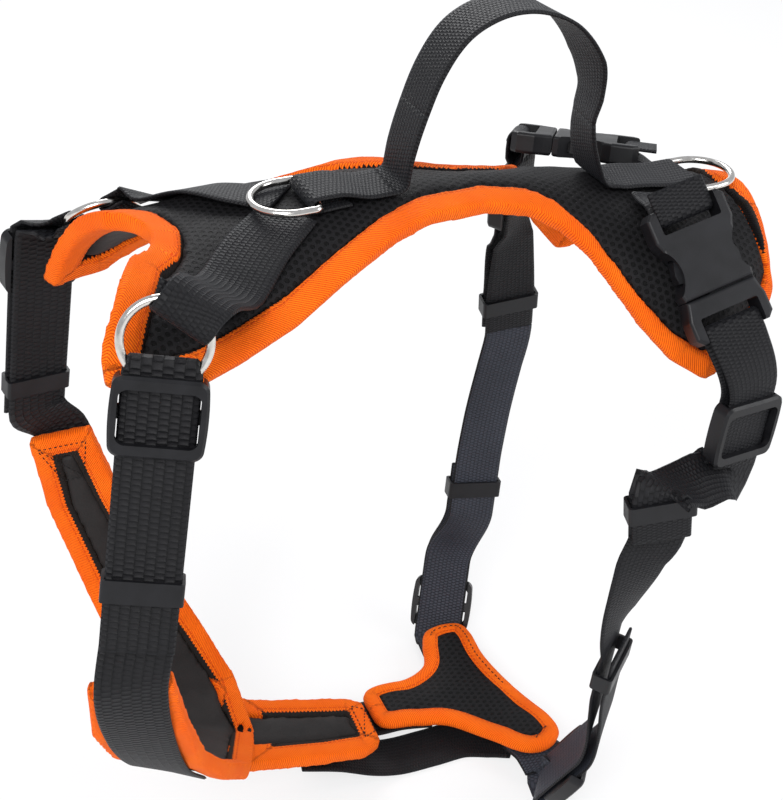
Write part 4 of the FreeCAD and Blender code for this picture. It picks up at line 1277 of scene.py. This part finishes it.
def plain_floor():
    size, level = 6.0, -0.0002
    corners = [(-size, -size), (size, -size), (size, size), (-size, size)]
    mesh = bpy.data.meshes.new("floor")
    mesh.from_pydata([(x, y, level) for x, y in corners], [], [(0, 1, 2, 3)])
    material, tree, shader = new_material("pale_floor")
    shader.inputs["Base Color"].default_value = (0.86, 0.86, 0.87, 1)
    shader.inputs["Roughness"].default_value = 0.7
    glow = tree.nodes.new("ShaderNodeEmission")
    glow.inputs["Strength"].default_value = 1.0
    amount = times(tree, seen_directly(tree), 0.72)
    blend_out(tree, amount, shader, glow, "Material Output")
    new_object("floor", mesh, [material])


def seen_directly(tree):
    """1 for rays from the camera, off glossy surfaces and through clear ones."""
    path = tree.nodes.new("ShaderNodeLightPath")
    seen = calc(tree, "MAXIMUM", path.outputs["Is Camera Ray"], path.outputs["Is Glossy Ray"])
    return calc(tree, "MAXIMUM", seen, path.outputs["Is Transmission Ray"])


def studio_sky():
    world = bpy.data.worlds.new("studio")
    bpy.context.scene.world = world
    world.use_nodes = True
    tree = world.node_tree
    sky = tree.nodes["Background"]
    sky.inputs["Color"].default_value = (0.93, 0.95, 1.0, 1)
    sky.inputs["Strength"].default_value = 0.55
    white = tree.nodes.new("ShaderNodeBackground")
    white.inputs["Strength"].default_value = 1.0
    white.inputs["Color"].default_value = (1, 1, 1, 1)
    path = tree.nodes.new("ShaderNodeLightPath")
    blend_out(tree, path.outputs["Is Camera Ray"], sky, white, "World Output")


def soft_lamp(name, place, target, width, power):
    lamp = bpy.data.lights.new(name, "AREA")
    lamp.size = width
    lamp.energy = power
    obj = new_object(name, lamp)
    obj.location = place
    obj.rotation_mode = "QUATERNION"
    obj.rotation_quaternion = (Vector(target) - Vector(place)).to_track_quat("-Z", "Y")


CAMERA_AT = Vector((-0.1913, -0.4454, 0.529))
AZIMUTH, ELEVATION = -22.7, 33.2
FOCAL_SHARE = 1374 / 800


def camera():
    data = bpy.data.cameras.new("camera")
    data.sensor_width = 36.0
    data.lens = 36.0 * FOCAL_SHARE
    data.clip_start = 0.01
    obj = new_object("camera", data)
    a, e = math.radians(AZIMUTH), math.radians(ELEVATION)
    back = Vector((math.sin(a) * math.cos(e), -math.cos(a) * math.cos(e), math.sin(e)))
    obj.location = CAMERA_AT
    obj.rotation_mode = "QUATERNION"
    obj.rotation_quaternion = (-back).to_track_quat("-Z", "Y")
    bpy.context.scene.camera = obj


plain_floor()
studio_sky()
MIDDLE_OF_ALL = (0.0, 0.0, 0.18)
soft_lamp("key", (-0.9, -1.0, 1.3), MIDDLE_OF_ALL, 0.9, 24)
soft_lamp("fill", (1.2, -0.7, 0.9), MIDDLE_OF_ALL, 0.9, 10)
soft_lamp("rim", (0.3, 1.3, 1.1), MIDDLE_OF_ALL, 0.8, 12)
camera()
bpy.context.scene.view_settings.view_transform = "Standard"
